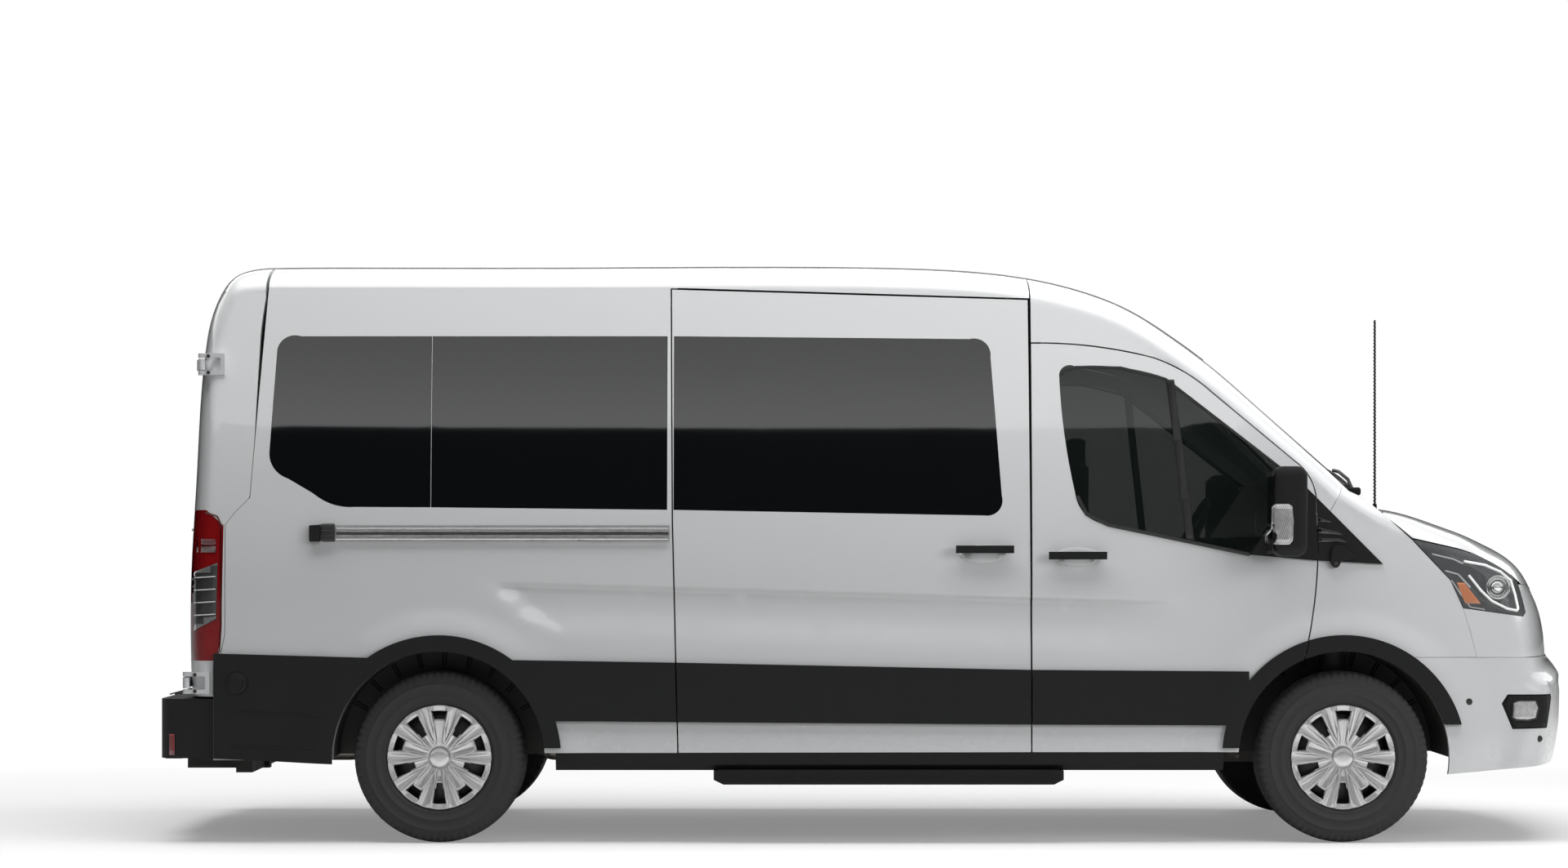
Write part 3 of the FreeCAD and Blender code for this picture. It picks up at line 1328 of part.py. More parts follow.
ENGINE = box("engine", "engine_length", "engine_width", "engine_height",
             FRONT_AXLE, "-engine_width / 2", RAIL_LOW)
GEARBOX = box("gearbox", "gearbox_length + overrun", "gearbox_width", "gearbox_height",
              FRONT_AXLE + " - gearbox_length", "-gearbox_width / 2",
              "floor_height - floor_wall - gearbox_height - seat_gap")
node("engine_block", fuse("engine_block", ENGINE, GEARBOX))


def rear_gear(side):
    """Half of the rear axle's springs and hangers, as bound blocks."""
    y = "%d * spring_spacing / 2 - spring_width / 2" % side
    tag = "left" if side > 0 else "right"
    spring = box("spring_" + tag, "spring_length", "spring_width", "spring_wall",
                 REAR_AXLE + " - spring_length / 2", y, "tyre_radius + axle_tube_radius - spring_wall / 2")
    ends = [box("hanger_%s_%d" % (tag, end), "spring_width", "spring_width",
                "floor_height - tyre_radius - axle_tube_radius - seat_gap",
                REAR_AXLE + " + %d * (spring_length - spring_width) / 2 - spring_width / 2" % end,
                y, "tyre_radius + axle_tube_radius")
            for end in (-1, 1)]
    return [spring] + ends


AXLE_TUBE = rod("axle_tube", "Y", "axle_tube_radius", "track_rear - 2 * spindle_length - rim_width / 2",
                REAR_AXLE, "-track_rear / 2 + spindle_length + rim_width / 4", "tyre_radius")
AXLE_SPINDLE = rod("axle_spindle", "Y", "spindle_radius", "track_rear", REAR_AXLE, "-track_rear / 2",
                   "tyre_radius")
DIFF = bind(DOC.addObject("Part::Sphere", "differential"), Radius="diff_radius", X=REAR_AXLE,
            Z="tyre_radius")
SHAFT = rod("propeller_shaft", "X", "shaft_radius",
            FRONT_AXLE + " - gearbox_length - seat_gap - " + REAR_AXLE, REAR_AXLE, "0",
            "tyre_radius + overrun")
node("rear_axle", fuse("rear_axle", AXLE_TUBE, AXLE_SPINDLE, DIFF, SHAFT, *rear_gear(-1), *rear_gear(1)))


def bent_pipe(points, radius, bend):
    """A tube body along straight runs joined by arcs."""
    edges = []
    start = points[0]
    for before, corner, after in zip(points, points[1:], points[2:]):
        into, out = corner.sub(before).normalize(), after.sub(corner).normalize()
        turn = into.getAngle(out)
        back = bend * math.tan(turn / 2)
        first, last = corner.sub(into * back), corner.add(out * back)
        middle = first.add(last) * 0.5
        toward = corner.sub(middle)
        sag = bend / math.cos(turn / 2) - bend
        crown = corner.sub(toward.normalize() * sag)
        edges += [Part.makeLine(start, first), Part.Arc(first, crown, last).toShape()]
        start = last
    edges.append(Part.makeLine(start, points[-1]))
    ring = Part.Wire(Part.makeCircle(radius, points[0], points[1].sub(points[0])))
    return Part.Wire(edges).makePipeShell([ring], True, False)


def exhaust():
    y = -0.28 * size.body_half_width
    low = size.tyre_radius - size.overrun
    high = size.tyre_radius + size.axle_tube_radius + 2 * size.pipe_radius + size.overrun
    length = size.body_length
    pipe = bent_pipe([Vector(0.2050 * length, y, low), Vector(size.rear_axle + 0.070 * length, y, low),
                      Vector(size.rear_axle + 0.030 * length, y, high),
                      Vector(size.rear_axle - 0.030 * length, y, high),
                      Vector(size.rear_axle - 0.070 * length, y, low),
                      Vector(-0.4350 * length, y, low)], size.pipe_radius, 3 * size.pipe_radius)
    start = -0.06 * length
    muffler = Part.makeCylinder(size.muffler_radius, size.muffler_length, Vector(start, y, low),
                                Vector(1, 0, 0))
    top = size.floor_height - size.floor_wall - size.seat_gap
    hangers = [Part.makeBox(size.rail_width / 2, size.rail_width / 4, top - low,
                            Vector(share * length, y - size.rail_width / 8, low))
               for share in (0.168, -0.010)]
    return pipe.fuse([muffler] + hangers).removeSplitter()


node("exhaust", feature("exhaust", exhaust()))
TANK = box("tank", "tank_length", "tank_width", "tank_height", "-0.12 * body_length",
           "rail_spacing / 2 + rail_width", "floor_height - floor_wall - tank_height - seat_gap")
node("fuel_tank", TANK)


def front_suspension(side):
    """Lower arm and strut on one side, as bound blocks."""
    tag = "left" if side > 0 else "right"
    pin = "(track_front / 2 - kingpin_offset)"
    arm_top = "(tyre_radius - upright_height / 2 - bearing_gap)"
    inner = "rail_spacing / 2"
    low = pin + " + upright_wall / 2" if side < 0 else inner
    reach = pin + " + upright_wall / 2 - " + inner
    arm = box("arm_" + tag, "upright_length / 2", reach, "arm_height", FRONT_AXLE + " - upright_length / 4",
              ("-(%s)" if side < 0 else "%s") % low, arm_top + " - arm_height")
    leg_y = "-rail_spacing / 2 - rail_width" if side < 0 else "rail_spacing / 2"
    leg = box("arm_bracket_" + tag, "upright_length", "rail_width",
              RAIL_LOW + " - seat_gap - " + arm_top + " + arm_height",
              FRONT_AXLE + " - upright_length / 2", leg_y, arm_top + " - arm_height")
    strut = rod("strut_" + tag, "Z", "strut_radius",
                "sqrt(arch_radius ^ 2 - strut_radius ^ 2) - seat_gap - shut_gap - upright_height / 2",
                FRONT_AXLE,
                "%d * (track_front / 2 - strut_inset)" % side,
                "tyre_radius + upright_height / 2 + shut_gap")
    return [arm, leg], strut


RIGHT_ARM, RIGHT_STRUT = front_suspension(-1)
LEFT_ARM, LEFT_STRUT = front_suspension(1)
SUBFRAME = box("subframe", "2 * upright_length", "rail_spacing + 2 * rail_width", "rail_height - 2 * overrun",
               FRONT_AXLE + " - upright_length", "-rail_spacing / 2 - rail_width",
               "tyre_radius - upright_height / 2 - bearing_gap - arm_height")
AXLE_BEAM = fuse("axle_beam", SUBFRAME, *RIGHT_ARM, *LEFT_ARM)
node("front_axle", group("front_axle", AXLE_BEAM, RIGHT_STRUT, LEFT_STRUT))


def knuckle(side):
    """Upright, strut clamp and spindle that carry one front wheel."""
    tag = "left" if side > 0 else "right"
    upright_y = "%d * (track_front / 2 - kingpin_offset) - upright_wall / 2" % side
    upright = box("upright_" + tag, "upright_length", "upright_wall", "upright_height",
                  FRONT_AXLE + " - upright_length / 2", upright_y, "tyre_radius - upright_height / 2")
    clamp_low = "-(track_front / 2 - kingpin_offset)" if side < 0 else "(track_front / 2 - strut_inset)"
    clamp = box("clamp_" + tag, "upright_length / 2", "strut_inset - kingpin_offset", "upright_height / 4",
                FRONT_AXLE + " - upright_length / 4", clamp_low, "tyre_radius + upright_height / 4")
    spindle_low = "-track_front / 2" if side < 0 else "track_front / 2 - kingpin_offset"
    spindle = rod("spindle_" + tag, "Y", "spindle_radius", "kingpin_offset", FRONT_AXLE, spindle_low,
                  "tyre_radius")
    return node("knuckle_" + tag, fuse("knuckle_" + tag, upright, clamp, spindle))


knuckle(-1)
knuckle(1)


# Wheels.
def plane_of(body, role):
    return next(item for item in body.Origin.OriginFeatures if item.Role == role)


def sketch(body, name, role, points):
    """A closed outline of straight lines whose corners are tied to the sheet."""
    drawing = body.newObject("Sketcher::SketchObject", name)
    drawing.AttachmentSupport = (plane_of(body, role), [""])
    drawing.MapMode = "FlatFace"
    places = [(worked_out(x), worked_out(y)) for x, y in points]
    count = len(points)
    for index in range(count):
        first, last = places[index], places[(index + 1) % count]
        drawing.addGeometry(Part.LineSegment(Vector(*first, 0), Vector(*last, 0)), False)
    for index in range(count):
        drawing.addConstraint(Sketcher.Constraint("Coincident", index, 2, (index + 1) % count, 1))
    for index, (x, y) in enumerate(points):
        for kind, rule, value in (("DistanceX", x, places[index][0]), ("DistanceY", y, places[index][1])):
            number = drawing.addConstraint(Sketcher.Constraint(kind, -1, 1, index, 1, value))
            drawing.setExpression("Constraints[%d]" % number, formula(rule))
    return drawing


def revolved(body, name, drawing):
    spin = body.newObject("PartDesign::Revolution", name)
    spin.Profile = drawing
    spin.ReferenceAxis = (drawing, ["H_Axis"])
    spin.Angle = 360
    return spin


HALF_TYRE = (
    ("-rim_width / 2 + 3 * rim_wall", "bead_radius + bearing_gap"),
    ("-0.44 * tyre_width", "1.10 * bead_radius"),
    ("-tyre_width / 2", "0.80 * tyre_radius"), ("-0.47 * tyre_width", "0.90 * tyre_radius"),
    ("-0.42 * tyre_width", "0.965 * tyre_radius"), ("-0.34 * tyre_width", "0.992 * tyre_radius"),
    ("-0.20 * tyre_width", "tyre_radius"),
)


def negated(rule):
    return "-(%s)" % rule


def tyre(tag, x, track, side):
    body = DOC.addObject("PartDesign::Body", "tyre_" + tag)
    outline = list(HALF_TYRE) + [(negated(a), r) for a, r in reversed(HALF_TYRE)]
    revolved(body, "tyre_ring_" + tag, sketch(body, "tyre_section_" + tag, "YZ_Plane", outline))
    bind(body, X=x, Y="%d * %s / 2" % (side, track), Z="tyre_radius")
    return node("tyre_" + tag, body)


def wheel(tag, x, track, side):
    """Rim barrel, pierced cover, hub with its bore, and brake disc."""
    body = DOC.addObject("PartDesign::Body", "wheel_" + tag)

    def facing(points):
        return [(a if side > 0 else negated(a), r) for a, r in points]
    out = "rim_width / 2"
    barrel = facing((
        ("-rim_width / 2", "bead_radius - rim_wall"), ("-rim_width / 2", "bead_radius + rim_wall"),
        ("-rim_width / 2 + rim_wall", "bead_radius + rim_wall"), ("-rim_width / 2 + rim_wall", "bead_radius"),
        (out + " - rim_wall", "bead_radius"), (out + " - rim_wall", "bead_radius + rim_wall"),
        (out + " + cover_wall", "cover_radius"), (out + " + 2 * cover_wall", "0.93 * cover_radius"),
        (out + " - cover_recess + cover_wall", "1.6 * cap_radius"),
        (out + " - cover_recess + cover_wall", "cap_radius"),
        (out + " - cover_recess + cover_wall + cap_rise", "0.9 * cap_radius"),
        (out + " - cover_recess + cover_wall + cap_rise", "fit_gap"),
        (out + " - cover_recess", "fit_gap"), (out + " - cover_recess", "1.6 * cap_radius"),
        (out + " + cover_wall", "0.93 * cover_radius - rim_wall"),
        (out + " - 2 * rim_wall", "bead_radius - rim_wall"),
    ))
    spin = revolved(body, "rim_" + tag, sketch(body, "rim_section_" + tag, "YZ_Plane", barrel))
    DOC.recompute()
    features = [spin]
    for kind, inner, turn in (("short", "short_window_inner_radius", 90),
                              ("long", "long_window_inner_radius", -90)):
        wide = "window_width / 2" if kind == "long" else "0.42 * window_width"
        slim = "0.35 * window_width" if kind == "long" else "0.75 * window_width"
        sign = "" if turn > 0 else "-"
        window = sketch(body, "%s_window_section_%s" % (kind, tag), "XZ_Plane", (
            ("-" + wide, sign + inner), (wide, sign + inner),
            (slim, sign + "window_outer_radius"), ("-" + slim, sign + "window_outer_radius")))
        pocket = body.newObject("PartDesign::Pocket", "%s_window_%s" % (kind, tag))
        pocket.Profile = window
        pocket.Type = "ThroughAll"
        pocket.Midplane = True
        body.Tip = pocket
        pattern = body.newObject("PartDesign::PolarPattern", "%s_windows_%s" % (kind, tag))
        pattern.Originals = [pocket]
        pattern.Axis = (plane_of(body, "Y_Axis"), [""])
        pattern.Angle = 360
        pattern.Occurrences = WINDOWS
        body.Tip = pattern
    hub = facing((
        (out + " - cover_recess + cover_wall / 2", "spindle_radius + bearing_gap + rim_wall"),
        (out + " - cover_recess + cover_wall / 2", "cap_radius"),
        ("cover_recess", "cap_radius"), ("cover_recess", "hub_radius"), ("0", "hub_radius"),
        ("0", "disc_radius"), ("-disc_wall", "disc_radius"), ("-disc_wall", "spindle_radius + bearing_gap"),
        ("seat_gap", "spindle_radius + bearing_gap"), ("seat_gap", "spindle_radius + bearing_gap + rim_wall"),
    ))
    drum = revolved(body, "hub_" + tag, sketch(body, "hub_section_" + tag, "YZ_Plane", hub))
    bind(body, X=x, Y="%d * %s / 2" % (side, track), Z="tyre_radius")
    return node("wheel_" + tag, body)


WINDOWS = 5

for END, AXLE, TRACK in (("front", FRONT_AXLE, "track_front"), ("rear", REAR_AXLE, "track_rear")):
    for HAND, SIDE in (("right", -1), ("left", 1)):
        tyre("%s_%s" % (END, HAND), AXLE, TRACK, SIDE)
        wheel("%s_%s" % (END, HAND), AXLE, TRACK, SIDE)


# Cabin and the fixed inner posts.
def posts():
    """Door posts just inside the door openings, and the tray under the windscreen's foot."""
    def post(first, last, low, high, depth):
        face = side_face(closed((first, low), (last, low), (last, high), (first, high)))
        return on_flank(SIDE_SKIN, face, depth, depth + size.post_wall)
    behind_door = size.front_door_wall + size.shut_gap
    middle = post(0.1010, 0.1210, 0.28327, 0.9150, behind_door)
    hinge = post(0.2900, 0.3157, 0.3400, 0.5200, behind_door)
    rear = post(-0.1480, -0.1270, 0.28327, 0.9150, size.side_wall + size.fit_gap)
    wide = 0.84 * size.body_half_width
    start = 0.3200 * size.body_length + size.seat_gap
    tray = Part.makeBox(0.0510 * size.body_length, 2 * wide, size.floor_wall / 2,
                        Vector(start, -wide, 0.5310 * size.body_height))
    drop = Part.makeBox(size.floor_wall / 2, 2 * wide, 0.08 * size.body_height,
                        Vector(start, -wide, 0.4600 * size.body_height))
    lid = DOC.getObject("hood").Shape
    clear = [lid.translated(Vector(*step)) for step in (
        (0, 0, 0), (0, 0, -size.shut_gap), (-size.shut_gap, 0, 0))]
    base = max(tray.fuse(drop).cut(clear).Solids, key=lambda solid: solid.Volume)
    bracket = hood_bracket()
    return Part.makeCompound([middle, left_of(middle), hinge, left_of(hinge), rear,
                              base.fuse([bracket, left_of(bracket)]).removeSplitter()])


node("body_posts", feature("body_posts", posts()))


DASH_FACE = side_face(closed((0.2600, 0.3900), (0.2610, 0.4650), (0.2700, 0.4850), (0.3080, 0.5080),
                               (0.3157, 0.4950), (0.3157, 0.3900)))


def dashboard():
    half = 0.80 * size.body_half_width
    return DASH_FACE.translated(Vector(0, -half, 0)).extrude(Vector(0, 2 * half, 0))


node("dashboard", feature("dashboard", dashboard()))


def steering_wheel():
    """Rim, boss, spokes and column, turned to the driver."""
    ring = Part.makeTorus(size.wheel_rim_radius, size.wheel_rim_wall)
    wide, reach = 2 * size.wheel_rim_wall, size.wheel_rim_radius
    boss = Part.makeCylinder(reach / 3, wide, Vector(0, 0, -wide))
    spoke = Part.makeBox(2 * reach, wide, wide / 2, Vector(-reach, -wide / 2, -wide / 2))
    lower = Part.makeBox(wide, reach, wide / 2, Vector(-wide / 2, -reach, -wide / 2))
    column = Part.makeCylinder(wide, size.column_length, Vector(0, 0, -size.column_length))
    wheel_shape = ring.fuse([boss, spoke, lower, column]).removeSplitter()
    turned = Rotation(Vector(0, 1, 0), -65).multiply(Rotation(Vector(0, 0, 1), -90))
    place = Placement(at((0.2480, 0.5150)).add(Vector(0, size.driver_side, 0)), turned)
    dash = grown(DASH_FACE, size.seat_gap).translated(Vector(0, -size.body_half_width, 0))
    dash = dash.extrude(Vector(0, 2 * size.body_half_width, 0))
    return wheel_shape.transformed(place.toMatrix()).cut(dash)


node("steering_wheel", feature("steering_wheel", steering_wheel()))


def seat(x, y, width, low):
    """A seat on its base: cushion, back and head rest, from the rear of its cushion."""
    long, rise = size.seat_cushion_length, size.seat_rise

    def pad(length, wide, tall, at_x, at_y, at_z):
        block = Part.makeBox(length, wide, tall, Vector(at_x, at_y, at_z))
        return block.makeFillet(size.seat_round, block.Edges)

    top = low + rise
    edge = 2 * size.seat_round
    base = Part.makeBox(long - 2 * edge, width - 2 * edge, rise - size.seat_cushion_wall / 2,
                        Vector(x + edge, y + edge, low + size.fit_gap))
    cushion = pad(long, width, size.seat_cushion_wall, x, y, top - size.seat_cushion_wall)
    back = pad(size.seat_back_wall, width, size.seat_back_height, x - size.seat_back_wall / 2, y,
               top - size.seat_cushion_wall)
    rest_width = width / 2 if width < 1.5 * size.seat_width else width / 1.3
    crown = top - size.seat_cushion_wall + size.seat_back_height - size.overrun / 2
    rest = pad(2 * size.seat_back_wall / 3, rest_width, size.head_rest_height, x - size.seat_back_wall / 2.5,
               y + (width - rest_width) / 2, crown)
    return base.fuse([cushion, back, rest]).removeSplitter()


FLOOR_TOP = size.floor_height + size.floor_wall
node("front_seats", feature("front_seats", both(seat(
    0.1500 * size.body_length, -size.driver_side - size.seat_width / 2, size.seat_width, FLOOR_TOP))))
REAR_ROWS = 4


def rear_seats():
    """Rows of a single and a double seat with an aisle, cut out over the wheel housings."""
    radius = size.arch_radius + size.liner_wall + size.seat_gap
    near = size.track_rear / 2 - size.tyre_width / 2 - 2 * size.overrun - size.liner_wall - size.seat_gap
    house = Part.makeCylinder(radius, size.body_half_width - near,
                              Vector(size.rear_axle, near, size.tyre_radius), Vector(0, 1, 0))
    rows = []
    for row in range(REAR_ROWS):
        x = 0.0250 * size.body_length - row * size.bench_pitch
        rows.append(seat(x, 0.08 * size.body_half_width, 1.4 * size.seat_width, FLOOR_TOP).cut(house))
        rows.append(seat(x, -0.80 * size.body_half_width, 0.92 * size.seat_width,
                         FLOOR_TOP).cut(left_of(house)))
    return Part.makeCompound(rows)


node("rear_seats", feature("rear_seats", rear_seats()))


def antenna():
    foot = at((0.3553, 0.5310)).add(Vector(0, -0.79 * size.body_half_width,
                                           size.floor_wall / 2 + size.seat_gap))
    base = Part.makeCone(size.antenna_base_radius, size.antenna_radius, size.antenna_base_height, foot)
    mast = Part.makeCylinder(size.antenna_radius, size.antenna_height, foot)
    return base.fuse(mast).removeSplitter()


node("antenna", feature("antenna", antenna()))

DOC.recompute()
for obj in DOC.Objects:
    if "Invalid" in obj.State or "Error" in obj.State:
        raise ValueError("%s did not compute" % obj.Name)
for name, obj in NODES.items():
    if obj.Shape.isNull() or not obj.Shape.isValid() or not obj.Shape.Solids:
        raise ValueError("%s has no sound solid" % name)
os.makedirs("parts", exist_ok=True)
for name, obj in NODES.items():
    obj.Shape.exportStep("parts/%s.step" % name)
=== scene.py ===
import json
import math

import bmesh
import bpy
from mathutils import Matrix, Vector
from mathutils.bvhtree import BVHTree


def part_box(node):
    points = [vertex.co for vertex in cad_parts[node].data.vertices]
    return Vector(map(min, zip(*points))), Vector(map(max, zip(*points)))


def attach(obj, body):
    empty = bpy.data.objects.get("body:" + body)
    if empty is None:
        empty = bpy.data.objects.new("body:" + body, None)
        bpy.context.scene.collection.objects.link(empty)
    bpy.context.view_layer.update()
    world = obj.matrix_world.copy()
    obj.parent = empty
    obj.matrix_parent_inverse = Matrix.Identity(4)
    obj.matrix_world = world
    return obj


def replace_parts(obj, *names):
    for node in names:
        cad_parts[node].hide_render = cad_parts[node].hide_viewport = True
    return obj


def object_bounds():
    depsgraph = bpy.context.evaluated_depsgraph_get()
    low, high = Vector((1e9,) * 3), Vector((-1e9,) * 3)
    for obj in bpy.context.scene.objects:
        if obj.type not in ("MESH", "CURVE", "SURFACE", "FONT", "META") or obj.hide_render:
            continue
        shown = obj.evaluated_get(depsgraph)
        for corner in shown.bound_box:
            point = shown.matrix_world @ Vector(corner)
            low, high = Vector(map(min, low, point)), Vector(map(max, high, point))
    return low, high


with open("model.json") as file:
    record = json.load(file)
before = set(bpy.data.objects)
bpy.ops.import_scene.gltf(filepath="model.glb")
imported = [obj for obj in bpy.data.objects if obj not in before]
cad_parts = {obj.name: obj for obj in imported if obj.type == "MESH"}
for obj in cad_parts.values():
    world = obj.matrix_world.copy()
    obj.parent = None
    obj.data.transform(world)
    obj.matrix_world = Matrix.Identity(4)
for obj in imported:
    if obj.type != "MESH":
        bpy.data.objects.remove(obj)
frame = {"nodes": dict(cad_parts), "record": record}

bl_info = {
    "name": "Passenger Van Dressing",
    "version": (1, 0, 0),
    "blender": (4, 5, 0),
    "location": "View3D > Sidebar > Van",
    "description": "Dresses the packed frame of a long passenger van and lights it in a white studio",
    "category": "Object",
}

CAD_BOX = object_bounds()
NODES = frame["nodes"]
SLOTS = {row["node"]: row["material_slot"] for row in frame["record"]["subparts"]}
ENDS = ("front", "rear")
SIDES = {"right": -1, "left": 1}
TURN = 2 * math.pi
FAR = 4.0


class Signal:
    """A shader value whose arithmetic adds Math nodes."""

    def __init__(self, graph, socket):
        self.graph = graph
        self.socket = socket

    def math(self, operation, *others, first=None):
        terms = [self if first is None else first] + [self if item is None else item for item in others]
        return self.graph.add("ShaderNodeMath", {"operation": operation}, *terms)

    def __add__(self, other):
        return self.math("ADD", other)

    __radd__ = __add__

    def __sub__(self, other):
        return self.math("SUBTRACT", other)

    def __rsub__(self, other):
        return self.math("SUBTRACT", None, first=other)

    def __mul__(self, other):
        return self.math("MULTIPLY", other)

    __rmul__ = __mul__

    def __truediv__(self, other):
        return self.math("DIVIDE", other)

    def __pow__(self, other):
        return self.math("POWER", other)

    def above(self, other):
        return self.math("GREATER_THAN", other)

    def larger(self, other):
        return self.math("MAXIMUM", other)

    def sine(self):
        return self.math("SINE")

    def wave(self):
        """A sine brought to the range from nought to one."""
        return self.sine().ramp(-1.0, 1.0)

    def ramp(self, low, high, to_low=0.0, to_high=1.0):
        return self.graph.add("ShaderNodeMapRange", {"clamp": True}, self, low, high, to_low, to_high)


class Graph:
    """The node tree of one material, built from expressions."""

    def __init__(self, name):
        self.material = bpy.data.materials.new(name)
        self.material.use_nodes = True
        self.tree = self.material.node_tree
        self.surface = self.tree.nodes["Principled BSDF"]

    @classmethod
    def over(cls, tree):
        """A graph in an empty tree that isn't a material's."""
        graph = cls.__new__(cls)
        graph.tree = tree
        tree.nodes.clear()
        return graph

    def plug(self, socket, value):
        if isinstance(value, Signal):
            self.tree.links.new(value.socket, socket)
        else:
            socket.default_value = value

    def add(self, kind, settings=None, *values, output=0, **named):
        """Add a node with its settings and the values or links of its sockets."""
        node = self.tree.nodes.new(kind)
        for key, value in (settings or {}).items():
            setattr(node, key, value)
        for socket, value in zip(node.inputs, values):
            self.plug(socket, value)
        for key, value in named.items():
            self.plug(node.inputs[key.replace("_", " ")], value)
        return Signal(self, node.outputs[output] if node.outputs else None)

    def place(self):
        return self.add("ShaderNodeTexCoord", output="Object")

    def axes(self, vector):
        split = self.add("ShaderNodeSeparateXYZ", None, vector)
        return [Signal(self, socket) for socket in split.socket.node.outputs]

    def ray(self, *kinds):
        """Whether a ray is of each of some kinds."""
        path = self.add("ShaderNodeLightPath")
        return [Signal(self, path.socket.node.outputs["Is %s Ray" % kind]) for kind in kinds]

    def noise(self, scale, detail=2.0):
        return self.add("ShaderNodeTexNoise", None, Vector=self.place(), Scale=scale, Detail=detail)

    def cells(self, scale, **settings):
        return self.add("ShaderNodeTexVoronoi", settings, Vector=self.place(), Scale=scale)

    def mix(self, factor, first, second):
        """Blend two colours, which are the sixth and seventh sockets of the Mix node."""
        mixed = self.add("ShaderNodeMix", {"data_type": "RGBA"}, factor, output=2)
        for index, value in ((6, first), (7, second)):
            self.plug(mixed.socket.node.inputs[index], value)
        return mixed

    def bump(self, height, distance, strength=1.0):
        return self.add("ShaderNodeBump", None, Height=height, Distance=distance, Strength=strength)

    def finish(self, **sockets):
        for key, value in sockets.items():
            self.plug(self.surface.inputs[key.replace("_", " ")], value)
        return self.material


def grey(level):
    return (level, level, level, 1.0)


def scaled(colour, factor):
    """A colour made darker or paler."""
    return tuple(channel * factor for channel in colour[:3]) + (1.0,)


MADE = {}


def once(maker):
    """Keep one copy of each material."""
    def made():
        if maker.__name__ not in MADE:
            MADE[maker.__name__] = maker()
        return MADE[maker.__name__]
    return made


def settings():
    return bpy.context.scene.van_finish


@once
def paint():
    """White solid paint under clear lacquer, with faint orange peel, and painted shade low down: the colour
    darkens and the lacquer roughens towards the bottom, mottled by noise.
    """
    graph = Graph("body_paint")
    height = graph.axes(graph.place())[2]
    # Painted shade: below 0.8 m the paint's colour is darkened more the lower it lies, in noisy patches.
    mottle = height.ramp(0.25, 0.8, 0.5, 0.0) * graph.noise(7.0, 6.0)
    white = tuple(settings().paint)
    peel = graph.bump(graph.noise(420.0, 1.0), 0.00012, 0.35)
    return graph.finish(
        Base_Color=graph.mix(mottle, white, scaled(white, 0.86)), Roughness=mottle * 0.3 + 0.22, Normal=peel,
        Coat_Weight=1.0, Coat_Roughness=0.03, IOR=1.5)


@once
def hollow_painted_shade():
    """Body paint with painted shade for a handle's hollow: a little darker towards its top, where its lip
    shades it.
    """
    graph = Graph("hollow_painted_shade")
    height = graph.axes(graph.place())[2]
    # Painted shade: the colour darkens towards the hollow's top.
    fade = ((height - SCOOP_LEVEL) / SCOOP_HALF).ramp(-1.0, 1.0)
    white = tuple(settings().paint)
    return graph.finish(Base_Color=graph.mix(fade, white, scaled(white, 0.55)), Roughness=fade * 0.1 + 0.25,
                        Coat_Weight=1.0)


@once
def black_plastic():
    """Moulded plastic with a fine leather grain."""
    graph = Graph("grained_plastic")
    cells = graph.cells(900.0, feature="SMOOTH_F1")
    cloud = graph.noise(18.0, 5.0)
    dark = tuple(settings().plastic)
    return graph.finish(
        Base_Color=graph.mix(cloud, dark, scaled(dark, 1.7)), Roughness=cloud * 0.15 + 0.48,
        Specular_IOR_Level=0.25, Normal=graph.bump(cells, 0.0004, 0.6))


@once
def satin_black():
    graph = Graph("satin_black")
    cloud = graph.noise(30.0, 4.0)
    return graph.finish(
        Base_Color=graph.mix(cloud, grey(0.012), grey(0.025)), Roughness=cloud * 0.2 + 0.3)


@once
def gloss_black():
    graph = Graph("gloss_black")
    cloud = graph.noise(12.0, 3.0)
    return graph.finish(Base_Color=grey(0.008), Roughness=cloud * 0.06 + 0.05, Coat_Weight=0.6)


@once
def privacy_glass():
    """Dark glass of the passenger space."""
    graph = Graph("privacy_glass")
    wave = graph.noise(1.3, 1.0)
    return graph.finish(
        Base_Color=(0.006, 0.007, 0.008, 1.0), Roughness=wave * 0.02 + 0.015, IOR=1.52, Coat_Weight=0.5)


@once
def clear_glass():
    """Lightly tinted glass of the cab."""
    graph = Graph("tinted_glass")
    wave = graph.noise(1.3, 1.0)
    return graph.finish(
        Base_Color=(0.010, 0.014, 0.013, 1.0), Roughness=wave * 0.02 + 0.01, Alpha=0.62, IOR=1.52)


@once
def lens_glass():
    graph = Graph("lamp_lens")
    wave = graph.noise(3.0, 1.0)
    return graph.finish(
        Base_Color=(0.75, 0.78, 0.80, 1.0), Roughness=wave * 0.02 + 0.01, Alpha=0.14, IOR=1.49)


@once
def red_lens():
    """Red lamp plastic with a pillow pattern behind a smooth face."""
    graph = Graph("red_lens")
    across, _, up = graph.axes(graph.place())
    pillows = (across * 520.0).sine() * (up * 520.0).sine()
    return graph.finish(
        Base_Color=graph.mix(pillows.ramp(-1.0, 1.0), (0.16, 0.004, 0.006, 1.0), (0.42, 0.012, 0.014, 1.0)),
        Roughness=0.12, Coat_Weight=1.0, Coat_Roughness=0.02)


@once
def dark_red_lens():
    graph = Graph("dark_red_lens")
    ribs = (graph.axes(graph.place())[2] * 700.0).wave()
    return graph.finish(
        Base_Color=graph.mix(ribs, (0.05, 0.002, 0.003, 1.0), (0.12, 0.005, 0.006, 1.0)), Roughness=0.14,
        Coat_Weight=1.0)


@once
def smoked_lens():
    graph = Graph("smoked_lens")
    across, _, up = graph.axes(graph.place())
    ribs = ((up + across) * 600.0).wave()
    return graph.finish(
        Base_Color=graph.mix(ribs, grey(0.03), grey(0.10)), Roughness=0.12, Coat_Weight=1.0)


@once
def amber_lens():
    graph = Graph("amber_lens")
    ribs = (graph.axes(graph.place())[2] * 900.0).wave()
    return graph.finish(
        Base_Color=graph.mix(ribs, (0.55, 0.12, 0.01, 1.0), (0.85, 0.25, 0.03, 1.0)), Roughness=0.15,
        Coat_Weight=1.0)


